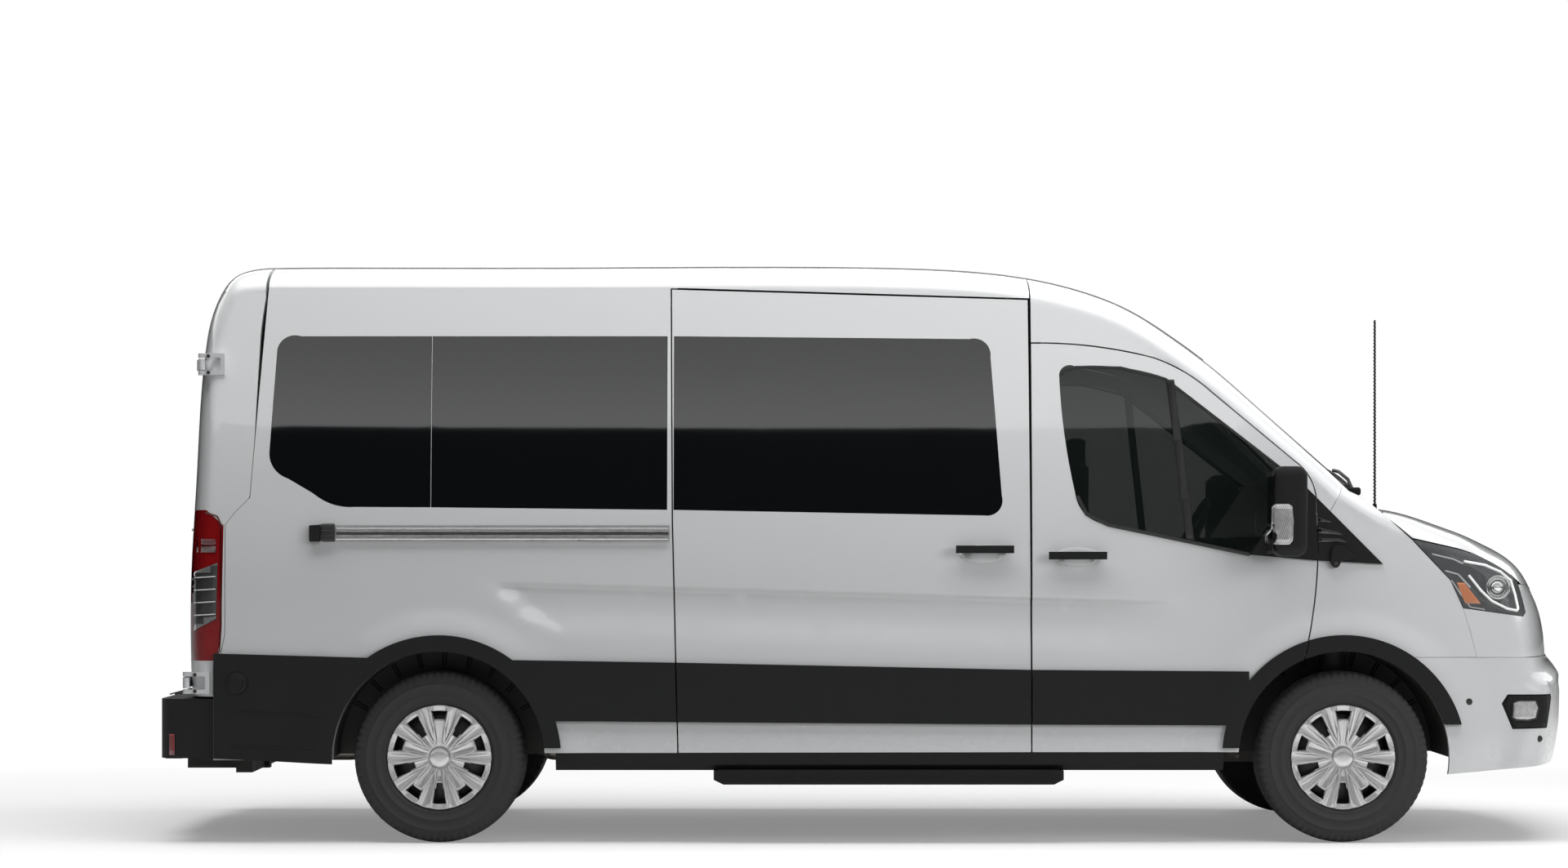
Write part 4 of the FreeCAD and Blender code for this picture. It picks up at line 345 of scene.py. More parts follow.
@once
def ribbed_lens_painted_glints():
    """Clear ribbed plastic with painted reflections: the bright glints of a bowl behind it, which is not
    built, are painted into its colour.
    """
    graph = Graph("ribbed_lens_painted_glints")
    across, _, up = graph.axes(graph.place())
    ribs = (across * 800.0).sine() * (up * 260.0).sine()
    # Painted reflection: ribs and noise swing the colour from dark grey to near white, standing in for a
    # lit bowl seen through the lens.
    tone = (ribs.ramp(-1.0, 1.0) + graph.noise(55.0, 3.0)) * 0.5
    return graph.finish(
        Base_Color=graph.mix(tone, grey(0.20), grey(0.95)), Metallic=0.35, Roughness=tone * 0.2 + 0.08,
        Coat_Weight=1.0, Coat_Roughness=0.01)


@once
def daylight_guide():
    """Frosted white light guide."""
    graph = Graph("light_guide")
    frost = graph.noise(90.0, 2.0)
    return graph.finish(Base_Color=graph.mix(frost, grey(0.85), grey(0.95)), Roughness=frost * 0.1 + 0.2,
                        Emission_Color=grey(0.9), Emission_Strength=0.35)


@once
def bright_metal():
    graph = Graph("bright_metal")
    streak = graph.noise(60.0, 3.0)
    return graph.finish(
        Base_Color=graph.mix(streak, grey(0.55), grey(0.72)), Metallic=1.0, Roughness=streak * 0.2 + 0.22)


@once
def reflector_metal():
    graph = Graph("reflector_metal")
    streak = graph.noise(25.0, 2.0)
    return graph.finish(Base_Color=grey(0.82), Metallic=1.0, Roughness=streak * 0.1 + 0.06)


@once
def chassis_paint():
    """Black frame paint, dulled by road dust."""
    graph = Graph("chassis_paint")
    dust = graph.noise(9.0, 6.0)
    return graph.finish(
        Base_Color=graph.mix(dust, grey(0.018), (0.06, 0.055, 0.05, 1.0)), Roughness=dust * 0.3 + 0.45,
        Normal=graph.bump(graph.noise(260.0, 3.0), 0.0004, 0.5))


@once
def cast_metal():
    graph = Graph("cast_metal")
    grain = graph.noise(340.0, 4.0)
    tone = graph.noise(11.0, 4.0)
    return graph.finish(
        Base_Color=graph.mix(tone, grey(0.10), (0.22, 0.20, 0.18, 1.0)), Metallic=0.6,
        Roughness=tone * 0.2 + 0.5, Normal=graph.bump(grain, 0.0008, 0.7))


@once
def exhaust_metal():
    graph = Graph("exhaust_metal")
    tone = graph.noise(6.0, 5.0)
    return graph.finish(
        Base_Color=graph.mix(tone, (0.30, 0.26, 0.22, 1.0), (0.50, 0.47, 0.44, 1.0)), Metallic=0.9,
        Roughness=tone * 0.3 + 0.35)


@once
def cabin_plastic():
    graph = Graph("cabin_plastic")
    return graph.finish(
        Base_Color=graph.mix(graph.noise(9.0), grey(0.03), grey(0.05)), Roughness=0.62,
        Normal=graph.bump(graph.cells(700.0), 0.0004, 0.5))


@once
def seat_cloth():
    """Dark woven cloth."""
    graph = Graph("seat_cloth")
    across, along, up = graph.axes(graph.place())
    weave = ((across + along) * 1900.0).sine() * ((up + along) * 1900.0).sine()
    return graph.finish(
        Base_Color=graph.mix(weave.ramp(-1.0, 1.0), grey(0.035), grey(0.085)), Roughness=0.9,
        Normal=graph.bump(weave, 0.0005, 0.6), Sheen_Weight=0.25)


@once
def tyre_rubber():
    graph = Graph("tyre_rubber")
    mottle = graph.noise(24.0, 6.0)
    return graph.finish(
        Base_Color=graph.mix(mottle, grey(0.026), grey(0.046)), Roughness=mottle * 0.18 + 0.62,
        Normal=graph.bump(graph.noise(500.0, 2.0), 0.0004, 0.5))


@once
def wheel_silver():
    """Sparkle silver lacquer."""
    graph = Graph("wheel_silver")
    fleck = graph.cells(1500.0)
    return graph.finish(
        Base_Color=graph.mix(fleck, grey(0.52), grey(0.66)), Metallic=0.85, Roughness=fleck * 0.08 + 0.24,
        Coat_Weight=0.5, Coat_Roughness=0.08)


@once
def mirror_glass():
    graph = Graph("mirror_glass")
    wave = graph.noise(2.0, 1.0)
    return graph.finish(Base_Color=grey(0.85), Metallic=1.0, Roughness=wave * 0.02 + 0.01)


@once
def blank_plate():
    graph = Graph("blank_plate")
    wear = graph.noise(30.0, 5.0)
    return graph.finish(Base_Color=graph.mix(wear, grey(0.62), grey(0.72)), Roughness=wear * 0.2 + 0.35)


SLOT_MATERIALS = {
    "paint": paint, "side_glass": privacy_glass, "front_glass": clear_glass, "head_lamp": lens_glass,
    "tail_lamp": red_lens, "black_plastic": black_plastic, "bright_metal": bright_metal,
    "dark_metal": chassis_paint, "cast_metal": cast_metal, "exhaust_metal": exhaust_metal,
    "cabin_plastic": cabin_plastic, "seat_cloth": seat_cloth, "tyre": tyre_rubber,
    "wheel_silver": wheel_silver,
}


class VanFinish(bpy.types.PropertyGroup):
    """Colours and sizes that a user would change."""

    paint: bpy.props.FloatVectorProperty(
        name="Paint", description="Body colour under the lacquer", subtype="COLOR", size=4, min=0, max=1,
        default=(0.80, 0.81, 0.82, 1.0))
    plastic: bpy.props.FloatVectorProperty(
        name="Plastic", description="Colour of the lower cladding", subtype="COLOR", size=4, min=0, max=1,
        default=(0.0072, 0.0074, 0.0080, 1.0))
    band: bpy.props.FloatProperty(
        name="Reflected band", description="Brightness of the softbox band that the glass mirrors",
        default=1.7, min=0)
    blocks: bpy.props.IntProperty(
        name="Tread blocks", description="Blocks round a tyre's shoulder", default=72, min=24, max=120)
    mesh_pitch: bpy.props.FloatProperty(
        name="Grille pitch", description="Distance between the cells of the grille", default=0.028,
        min=0.01, max=0.05, unit="LENGTH")


class VanCamera(bpy.types.PropertyGroup):
    """The camera that took the photograph, and its lamps."""

    place: bpy.props.FloatVectorProperty(
        name="Place", description="Where the camera stands", subtype="TRANSLATION", size=3,
        default=(-0.405, -16.783, 1.281))
    lens: bpy.props.FloatProperty(
        name="Lens", description="Focal length in millimetres", default=87.5, min=10, max=300)
    lamp_power: bpy.props.FloatProperty(
        name="Softbox power", description="Power of the roof softbox in watts", default=900.0, min=0)


# What a piece is made of: its material and the name of a slot.
PAINT, HOLLOW_SHADE = (paint, "paint"), (hollow_painted_shade, "paint")
BLACK, SATIN, GLOSS = ((maker, "black_plastic") for maker in (black_plastic, satin_black, gloss_black))
BRIGHT, BOWL = (bright_metal, "bright_metal"), (reflector_metal, "bright_metal")
PLATE, TRIM = (blank_plate, "bright_metal"), (wheel_silver, "bright_metal")
DARK, SCREW = (satin_black, "dark_metal"), (chassis_paint, "dark_metal")
SILVER, CAST, RUBBER = (wheel_silver, "wheel_silver"), (cast_metal, "cast_metal"), (tyre_rubber, "tyre")
LENS, GUIDE, AMBER, GLINT_LENS, MIRROR = (
    (maker, "head_lamp") for maker in (lens_glass, daylight_guide, amber_lens, ribbed_lens_painted_glints, mirror_glass))
SMOKED, DARK_RED, RED, LAMP_RIB = (
    (maker, "tail_lamp") for maker in (smoked_lens, dark_red_lens, red_lens, wheel_silver))
CLOTH, PRINT = (seat_cloth, "seat_cloth"), (gloss_black, "front_glass")
CABIN, VENT, BLADE = ((maker, "cabin_plastic") for maker in (cabin_plastic, gloss_black, satin_black))


def stand(name, data, look, body):
    """Put a finished mesh or curve on a body, with its material."""
    data.materials.clear()
    data.materials.append(look[0]())
    obj = bpy.data.objects.new(name, data)
    bpy.context.scene.collection.objects.link(obj)
    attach(obj, body)
    return obj


def piece(name, verts, faces, look, body="body", smooth=True):
    """A mesh of places and faces that rides on a body."""
    mesh = bpy.data.meshes.new(name)
    mesh.from_pydata([tuple(v) for v in verts], [], faces)
    mesh.validate()
    mesh.polygons.foreach_set("use_smooth", [smooth] * len(mesh.polygons))
    return stand(name, mesh, look, body)


def from_bmesh(name, bm, look, body="body", smooth=True):
    """A piece from a bmesh with its faces turned outward, or left as they are if smooth is None."""
    if smooth is not None:
        bmesh.ops.recalc_face_normals(bm, faces=bm.faces)
    mesh = bpy.data.meshes.new(name)
    bm.to_mesh(mesh)
    bm.free()
    mesh.polygons.foreach_set("material_index", [0] * len(mesh.polygons))
    if smooth is not None:
        mesh.polygons.foreach_set("use_smooth", [smooth] * len(mesh.polygons))
    return stand(name, mesh, look, body)


def thicken(obj, wall, offset):
    """Give a sheet its wall."""
    thick = obj.modifiers.new("wall", "SOLIDIFY")
    thick.thickness = wall
    thick.offset = offset
    return obj


def soften(obj, width):
    """Round the edges of a hard piece."""
    bevel = obj.modifiers.new("edge", "BEVEL")
    bevel.width = width
    bevel.segments = 3
    bevel.limit_method = "ANGLE"
    bevel.angle_limit = math.radians(35)
    bevel.harden_normals = True
    return obj


def prism(name, outline, near, far, look):
    """A side-view outline (x, z) between two places across the van."""
    count = len(outline)
    bm = bmesh.new()
    made = [bm.verts.new((x, y, z)) for y in (near, far) for x, z in outline]
    bm.faces.new(made[:count])
    bm.faces.new(made[:count - 1:-1])
    for i in range(count):
        after = (i + 1) % count
        bm.faces.new([made[k] for k in (i, i + count, after + count, after)])
    return from_bmesh(name, bm, look, smooth=False)


def ring_faces(steps, count):
    """The faces between the sections of a turned body; each section has some places."""
    faces = []
    for step in range(steps):
        first, after = step * count, (step + 1) % steps * count
        faces += [(first + i, first + i + 1, after + i + 1, after + i) for i in range(count - 1)]
    return faces


def grid_faces(columns, rows):
    """The faces of a grid whose places run up each column in turn."""
    starts = [i * (rows + 1) + j for i in range(columns) for j in range(rows)]
    return [(k, k + 1, k + rows + 2, k + rows + 1) for k in starts]


def turned_over(faces):
    """The same faces looking the other way."""
    return [(a, d, c, b) for a, b, c, d in faces]


def about(centre, side, out, radius, angle):
    """A place round an axle that lies across the van."""
    return (centre[0] + radius * math.cos(angle), centre[1] + side * out,
            centre[2] + radius * math.sin(angle))


def turned(name, profile, centre, side, look, body="body", steps=96):
    """A body turned about an axle; the profile has (outward, radius) pairs."""
    verts = [about(centre, side, out, radius, TURN * step / steps)
             for step in range(steps) for out, radius in profile]
    return piece(name, verts, ring_faces(steps, len(profile)), look, body)


def add_line(curve, line):
    """Add a chain of straight runs to a curve."""
    spline = curve.splines.new("POLY")
    spline.points.add(len(line) - 1)
    for point, place in zip(spline.points, line):
        point.co = (*place, 1.0)


def tubes(name, lines, radius, look, body="body"):
    """Round bars along some lines, in one piece."""
    curve = bpy.data.curves.new(name, "CURVE")
    curve.dimensions = "3D"
    curve.bevel_depth = radius
    curve.bevel_resolution = 3
    curve.use_fill_caps = True
    add_line(curve, lines[0])
    obj = stand(name, curve, look, body)
    for line in lines[1:]:
        add_line(curve, line)
    return obj


RAY_START = 3.0
BESIDE = 1.2


class Skin:
    """The outer surface of some CAD nodes, found by casting rays at them."""

    def __init__(self, *names):
        self.trees = []
        for name in names:
            bm = bmesh.new()
            bm.from_mesh(NODES[name].data)
            self.trees.append(BVHTree.FromBMesh(bm))
            bm.free()

    def hit(self, origin, direction, otherwise=None):
        """The first place that a ray meets, or another place where it meets nothing."""
        rays = [tree.ray_cast(Vector(origin), Vector(direction)) for tree in self.trees]
        met = [(distance, tuple(place)) for place, _, _, distance in rays if place is not None]
        return Vector(min(met)[1]) if met else otherwise

    def near(self, place):
        """The place on the surface that is nearest to another."""
        found = [tree.find_nearest(Vector(place)) for tree in self.trees]
        return min(found, key=lambda row: row[3])[0]

    def side(self, x, z, side=-1):
        """Where the flank lies at a place of the side view."""
        found = self.hit((x, side * RAY_START, z), (0, -side, 0))
        return found.y if found else self.near((x, side * BESIDE, z)).y

    def below(self, x, z, side, depth):
        """A place under the flank's surface."""
        return (x, self.side(x, z, side) - side * depth, z)

    def ahead(self, start, y, z, otherwise):
        """The x at which a ray going forward from a start meets the surface."""
        return self.hit((start, y, z), (1, 0, 0), Vector((otherwise, 0, 0))).x

    def under(self, x, y, otherwise):
        """The height at which a falling ray meets the surface."""
        return self.hit((x, y, RAY_START), (0, 0, -1), Vector((0, 0, otherwise))).z


def flank_sheet(name, skin, outline, side, out, look, body="body", wall=0.003, pitch=0.03):
    """A thin sheet over a side-view outline (x, z) that follows the flank."""
    bm = bmesh.new()
    bm.faces.new([bm.verts.new((x, 0.0, z)) for x, z in outline])
    for axis, normal in ((0, Vector((1, 0, 0))), (1, Vector((0, 0, 1)))):
        values = [row[axis] for row in outline]
        place = min(values) + pitch
        while place < max(values) - pitch / 10:
            bmesh.ops.bisect_plane(bm, geom=bm.verts[:] + bm.edges[:] + bm.faces[:],
                                   plane_co=normal * place, plane_no=normal)
            place += pitch
    bmesh.ops.triangulate(bm, faces=bm.faces)
    for vert in bm.verts:
        vert.co.y = skin.side(vert.co.x, vert.co.z, side) + side * out
    return thicken(from_bmesh(name, bm, look, body), wall, 0.0)


def spread(points, pitch=0.03):
    """Places spread along a chain of straight runs."""
    places = []
    for first, last in zip(points, points[1:]):
        count = max(1, math.ceil((Vector(last) - Vector(first)).length / pitch))
        places += [Vector(first).lerp(Vector(last), step / count) for step in range(count)]
    return places + [Vector(points[-1])]


def seam(name, skin, points, side, radius, look, body="body", out=0.0):
    """A bead or shut line laid along the flank."""
    places = [(x, skin.side(x, z, side) + side * out, z) for x, z in spread(points)]
    return tubes(name, [places], radius, look, body)


def block(name, centre, size, look, body="body", edge=0.004):
    """A box with rounded edges."""
    bm = bmesh.new()
    bmesh.ops.create_cube(bm, size=1.0)
    for vert in bm.verts:
        vert.co = Vector([vert.co[i] * size[i] for i in range(3)]) + Vector(centre)
    return soften(from_bmesh(name, bm, look, body, smooth=False), edge)


def disc_on(name, skin, x, z, side, profile, look, steps):
    """A turned button standing on the flank."""
    return turned(name, profile, (x, skin.side(x, z, side), z), side, look, steps=steps)


def patch(name, corners, look, wall=0.003, steps=8):
    """A four-cornered sheet between corner places."""
    a, b, c, d = (Vector(corner) for corner in corners)
    shares = [step / steps for step in range(steps + 1)]
    verts = [a.lerp(b, u).lerp(d.lerp(c, u), v) for u in shares for v in shares]
    return thicken(piece(name, verts, grid_faces(steps, steps), look), wall, -1.0)


def middle_of(node):
    """The middle of a node's box."""
    return [(low + high) / 2 for low, high in zip(*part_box(node))]


class VAN_OT_finishes(bpy.types.Operator):
    """Give every frame node its finish."""

    bl_idname = "van.finishes"
    bl_label = "Finish the Frame"

    def execute(self, context):
        for name, node in NODES.items():
            node.data.materials.clear()
            node.data.materials.append(SLOT_MATERIALS[SLOTS[name]]())
        return {"FINISHED"}


# The tyre's section from its inner bead to the middle of the tread: (outward, radius).
TREAD_PROFILE = (
    (-0.080, 0.209), (-0.088, 0.206), (-0.095, 0.212), (-0.1000, 0.222), (-0.1045, 0.228),
    (-0.1075, 0.229), (-0.1080, 0.233), (-0.1065, 0.236), (-0.1100, 0.244), (-0.1150, 0.258),
    (-0.1172, 0.2595), (-0.1176, 0.263), (-0.1160, 0.2645), (-0.1172, 0.285), (-0.1165, 0.300),
    (-0.1180, 0.3015), (-0.1175, 0.3055), (-0.1152, 0.3070), (-0.1135, 0.318), (-0.1115, 0.326),
    (-0.1085, 0.334), (-0.1050, 0.342), (-0.0985, 0.3485), (-0.0880, 0.3520), (-0.0740, 0.3540),
    (-0.0640, 0.3548), (-0.0625, 0.3468), (-0.0555, 0.3468), (-0.0540, 0.3553), (-0.0350, 0.3558),
    (-0.0270, 0.3558), (-0.0255, 0.3475), (-0.0185, 0.3475), (-0.0170, 0.3560), (0.0, 0.3560),
)
BLOCK_STEPS = 4
SHOULDER_OUT, SHOULDER_RADIUS, SHOULDER_CUT = 0.066, 0.338, 0.006
RIB_OUT, RIB_RADIUS, RIB_CUT = 0.052, 0.350, 0.004
LUG_OUT, LUG_RADIUS, LUG_CUT = 0.104, 0.322, 0.0045
CENTRE_OUT, CENTRE_LAG = 0.04, 0.9


def tyre_place(centre, side, out, radius, step, steps):
    """A place of the tyre, pressed in where a groove crosses its ribs, shoulders and lugs."""
    count = step + (1 if out > 0 else 3)
    crossed = count % BLOCK_STEPS == 0
    reach = radius
    if abs(out) > SHOULDER_OUT and radius > SHOULDER_RADIUS and crossed:
        reach -= SHOULDER_CUT
    if abs(out) < RIB_OUT and radius > RIB_RADIUS and (count + 2) % (2 * BLOCK_STEPS) == 0:
        reach -= RIB_CUT
    angle = TURN * (step + (CENTRE_LAG if abs(out) < CENTRE_OUT else 0.0)) / steps
    if abs(out) > LUG_OUT and radius > LUG_RADIUS and crossed:
        out -= math.copysign(LUG_CUT, out)
    return about(centre, side, out, reach, angle)


class VAN_OT_tyres(bpy.types.Operator):
    """Road tyres with a blocked tread, turned from their section."""

    bl_idname = "van.tyres"
    bl_label = "Fit Tyres"

    def execute(self, context):
        profile = list(TREAD_PROFILE) + [(-out, radius) for out, radius in reversed(TREAD_PROFILE[:-1])]
        steps = settings().blocks * BLOCK_STEPS
        for end in ENDS:
            for hand, side in SIDES.items():
                node = "tyre_%s_%s" % (end, hand)
                centre = middle_of(node)
                verts = [tyre_place(centre, side, out, radius, step, steps)
                         for step in range(steps) for out, radius in profile]
                tyre = piece(node + "_treaded", verts, ring_faces(steps, len(profile)), RUBBER,
                             node.replace("tyre", "wheel"))
                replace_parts(tyre, node)
        return {"FINISHED"}


WHEEL_POINTS = 5
COVER_OUT, COVER_WALL = 0.103, 0.005
COVER_INNER, COVER_RADIUS = 0.0352, 0.216
COVER_RINGS, COVER_STEPS = 56, 300
DISH_DEPTH, DISH_SWELL = 0.016, 0.006
GROOVE_DEPTH, SHORT_GROOVE_SHARE = 0.0033, 0.55
SPOKE_HEIGHT, SPOKE_PHASE, SPOKE_WIDTH = 0.012, 0.62, 0.22
HUB_FADE_FROM, HUB_FADE, RIM_FADE = 0.050, 0.030, 0.020
# Openings of the cover: (inner radius, half width there, how fast the half width grows).
OPENING_OUTER = 0.194
SHORT_OPENING = (0.158, 0.019, 0.35)
LONG_OPENING = (0.106, 0.011, 0.16)
# Rolled edges round the openings: (radius, distance to the side of the spoke's line).
LONG_RIDGE = ((0.052, 0.014), (0.105, 0.019), (0.170, 0.028), (0.198, 0.036), (0.207, 0.030),
              (0.208, 0.0), (0.207, -0.030), (0.198, -0.036), (0.170, -0.028), (0.105, -0.019),
              (0.052, -0.014))
SHORT_RIDGE = ((0.060, 0.020), (0.120, 0.022), (0.150, 0.020), (0.152, 0.0), (0.150, -0.020),
               (0.120, -0.022), (0.060, -0.020))
RIDGE_RADIUS, RIDGE_LIFT = 0.0042, 0.001
# Turned pieces of a wheel: (name, look, steps, profile from the tyre's middle plane).
WHEEL_RINGS = (
    ("_cap", BRIGHT, 64, ((0.113, 0.0), (0.113, 0.020), (0.112, 0.030), (0.109, 0.038), (0.103, 0.0435),
                          (0.083, 0.044))),
    ("_rim", DARK, 72, ((-0.095, 0.211), (-0.095, 0.200), (-0.080, 0.198), (-0.070, 0.186), (0.030, 0.182),
                        (0.060, 0.196), (0.090, 0.199), (0.095, 0.211), (0.0955, 0.2135),
                        (0.090, 0.2135), (0.086, 0.206), (-0.086, 0.206), (-0.090, 0.2125),
                        (-0.095, 0.211))),
    ("_web", DARK, 48, ((0.030, 0.184), (0.040, 0.140), (0.050, 0.085), (0.055, 0.035), (0.030, 0.032),
                        (0.0, 0.034))),
    ("_brake", CAST, 64, ((0.0, 0.034), (0.0, 0.150), (-0.026, 0.150), (-0.026, 0.034))),
)


def star_turn(angle):
    """How many points of the cover's star an angle is from the upright."""
    return (angle - math.pi / 2) * WHEEL_POINTS / TURN


def cover_height(radius, angle):
    """How far the wheel cover stands out of its rim's plane at a place."""
    share = radius / COVER_RADIUS
    dish = -DISH_DEPTH * (1 - share ** 2) + DISH_SWELL * math.sin(math.pi * min(share, 1.0))
    turn = star_turn(angle)
    phase = abs((turn + 0.25) % 0.5 - 0.25) * 4
    groove = GROOVE_DEPTH * (1 - phase) ** 2 * (1 if 0.25 < turn % 1 < 0.75 else SHORT_GROOVE_SHARE)
    spoke = SPOKE_HEIGHT * max(0.0, 1 - abs(phase - SPOKE_PHASE) / SPOKE_WIDTH)
    fade = min(1.0, max(0.0, (radius - HUB_FADE_FROM) / HUB_FADE))
    return dish + (spoke - groove) * fade * min(1.0, max(0.0, (COVER_RADIUS - radius) / RIM_FADE))


def cover_open(radius, angle):
    """Whether a place of the wheel cover lies in one of its ten openings."""
    turn = star_turn(angle) % 1
    for (inner, half, growth), away in ((SHORT_OPENING, min(turn, 1 - turn)),
                                        (LONG_OPENING, abs(turn - 0.5))):
        reach = half + (radius - inner) * growth
        if inner < radius < OPENING_OUTER and away * TURN / WHEEL_POINTS * radius < reach:
            return True
    return False


def wheel_cover(name, centre, side, body):
    """A ridged silver cover pierced by ten openings."""
    def radius_of(ring):
        return COVER_INNER + (COVER_RADIUS - COVER_INNER) * ring / COVER_RINGS
    angles = [TURN * step / COVER_STEPS for step in range(COVER_STEPS)]
    bm = bmesh.new()
    grid = [[bm.verts.new(about(centre, side, COVER_OUT + cover_height(radius_of(ring), angle),
                                radius_of(ring), angle)) for angle in angles]
            for ring in range(COVER_RINGS + 1)]
    for ring in range(COVER_RINGS):
        for step in range(COVER_STEPS):
            if not cover_open(radius_of(ring + 0.5), TURN * (step + 0.5) / COVER_STEPS):
                after = (step + 1) % COVER_STEPS
                bm.faces.new((grid[ring][step], grid[ring][after], grid[ring + 1][after],
                              grid[ring + 1][step]))
    bmesh.ops.delete(bm, geom=[vert for vert in bm.verts if not vert.link_faces], context="VERTS")
    return thicken(from_bmesh(name, bm, SILVER, body), COVER_WALL, -1.0)


def ridge_line(centre, side, middle, outline):
    """A rolled edge on the cover, laid out from a line that is turned from the upright."""
    line = []
    for radius, sway in outline:
        angle = math.pi / 2 + middle + math.asin(sway / radius)
        out = COVER_OUT + RIDGE_LIFT + cover_height(radius, angle)
        line.append(about(centre, side, out, radius, angle))
    return line


class VAN_OT_wheels(bpy.types.Operator):
    """Pierced silver covers on black rims, with the hub and the brake disc inside."""

    bl_idname = "van.wheels"
    bl_label = "Fit Wheels"

    def execute(self, context):
        for end in ENDS:
            for hand, side in SIDES.items():
                body = "wheel_%s_%s" % (end, hand)
                centre = middle_of(body)
                centre[1] = middle_of(body.replace("wheel", "tyre"))[1]
                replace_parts(wheel_cover(body + "_cover", centre, side, body), body)
                lines = [ridge_line(centre, side, TURN * (point + shift) / WHEEL_POINTS, outline)
                         for point in range(WHEEL_POINTS)
                         for shift, outline in ((0.5, LONG_RIDGE), (0.0, SHORT_RIDGE))]
                tubes(body + "_ridges", lines, RIDGE_RADIUS, SILVER, body)
                for name, look, steps, profile in WHEEL_RINGS:
                    turned(body + name, profile, centre, side, look, body, steps)
        return {"FINISHED"}


LIGHT_GUIDE = ((2.4745, 1.1688), (2.5646, 1.1535), (2.6414, 1.1240), (2.6880, 1.0879), (2.7000, 1.0274),
               (2.7080, 0.9720), (2.7000, 0.9630), (2.6543, 0.9720), (2.5901, 1.0043), (2.5452, 1.0468),
               (2.4939, 1.1110))
LAMP_BOWL = (2.622, 1.060)
LAMP_MARKER = ((2.4426, 1.0815), (2.4745, 1.0790), (2.5452, 0.9917), (2.4770, 0.9917))
LAMP_TRIMS = (((2.340, 1.200), (2.430, 1.178), (2.470, 1.160)),
              ((2.395, 1.130), (2.450, 1.115), (2.500, 1.060)),
              ((2.420, 1.090), (2.500, 0.978), (2.560, 0.968)))
GUIDE_DEPTH, TRIM_DEPTH, BOWL_DEPTH, MARKER_DEPTH = 0.012, 0.014, 0.045, 0.010
GUIDE_RADIUS, TRIM_RADIUS = 0.0055, 0.004
BOWL_PROFILE = ((-0.030, 0.002), (-0.026, 0.024), (-0.010, 0.040), (0.010, 0.047), (0.012, 0.050))
EYE_PROFILE = ((0.010, 0.0), (0.008, 0.012), (0.000, 0.022), (-0.012, 0.026))
LENS_SHARE = 0.55


def looks_out(face):
    """Whether a face of a head lamp looks out of the van."""
    side = 1 if face.calc_center_median().y > 0 else -1
    return face.normal.dot(Vector((0.45, side * 0.85, 0.25))) > LENS_SHARE


def lamp_faces(outward):
    """The faces of the head lamps that look out of the van, or all the others."""
    bm = bmesh.new()
    bm.from_mesh(NODES["head_lamps"].data)
    bm.normal_update()
    gone = [face for face in bm.faces if looks_out(face) != outward]
    bmesh.ops.delete(bm, geom=gone, context="FACES")
    return bm


class VAN_OT_head_lamps(bpy.types.Operator):
    """Clear lenses over a dark housing with its light guide, trims, bowl and marker."""

    bl_idname = "van.head_lamps"
    bl_label = "Fit Head Lamps"

    def execute(self, context):
        outer, inner = lamp_faces(True), lamp_faces(False)
        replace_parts(from_bmesh("head_lamp_lenses", outer, LENS, smooth=None), "head_lamps")
        from_bmesh("head_lamp_housings", inner, GLOSS, smooth=None)
        skin = Skin("head_lamps")
        for hand, side in SIDES.items():
            guide = [skin.below(x, z, side, GUIDE_DEPTH) for x, z in LIGHT_GUIDE]
            tubes("light_guide_" + hand, [guide], GUIDE_RADIUS, GUIDE)
            for index, line in enumerate(LAMP_TRIMS):
                trim = [skin.below(x, z, side, TRIM_DEPTH) for x, z in line]
                tubes("lamp_trim_%s_%d" % (hand, index), [trim], TRIM_RADIUS, TRIM)
            centre = skin.below(*LAMP_BOWL, side, BOWL_DEPTH)
            turned("lamp_bowl_" + hand, BOWL_PROFILE, centre, side, BOWL, steps=48)
            turned("lamp_projector_" + hand, EYE_PROFILE, centre, side, MIRROR, steps=40)
            marker = [skin.below(x, z, side, MARKER_DEPTH) for x, z in LAMP_MARKER]
            patch("lamp_marker_" + hand, marker, AMBER)
        return {"FINISHED"}


TAIL_MIDDLE = ((-2.817, 1.118), (-2.698, 1.163), (-2.704, 0.929), (-2.803, 0.881))
TAIL_SQUARE = ((-2.790, 1.262), (-2.706, 1.262), (-2.706, 1.206), (-2.790, 1.206))
TAIL_EDGE = ((-2.748, 1.372), (-2.700, 1.355), (-2.684, 1.318), (-2.684, 0.900), (-2.690, 0.800),
             (-2.712, 0.768))
TAIL_RIBS, TAIL_RIB_LOW, TAIL_RIB_PITCH, TAIL_RIB_RISE = 4, 0.945, 0.052, 0.006
STOP_LAMP = ((-2.761, 2.335), (-2.752, 2.376), (-2.715, 2.398), (-2.672, 2.400), (-2.668, 2.372),
             (-2.690, 2.331))
HINGE_DOTS = ((-2.790, 0.700), (-2.790, 0.632), (-2.745, 2.022), (-2.745, 1.954))
HINGE_SCREW = ((0.0, 0.008), (0.004, 0.0075), (0.0055, 0.004), (0.0045, 0.003), (0.0045, 0.0))
BOSS_PLACE = (-2.617, 0.664)
BOSS_PROFILE = ((0.0, 0.046), (0.006, 0.045), (0.012, 0.034), (0.014, 0.030), (0.026, 0.028),
                (0.030, 0.024), (0.028, 0.018), (0.028, 0.0))
# The first row is a black bar that paints a shadow line along the quarter cladding; the second is a seam at
# the foot.
QUARTER_SHADOW_LINE_AND_SEAM = (("painted_shadow_line", ((-2.630, 0.550), (-2.560, 0.542), (-2.270, 0.536))),
                 ("foot", ((-2.640, 0.402), (-2.440, 0.400), (-2.285, 0.398))))
REFLECTOR = ((-2.899, 0.366), (-2.899, 0.454), (-2.877, 0.454), (-2.877, 0.366))
STEP_RIBS, STEP_RIB_FIRST, STEP_RIB_PITCH = 9, -2.965, 0.022
DOOR_RIB_MIDDLE, DOOR_RIB_HEIGHTS = 0.40, (0.690, 1.300)
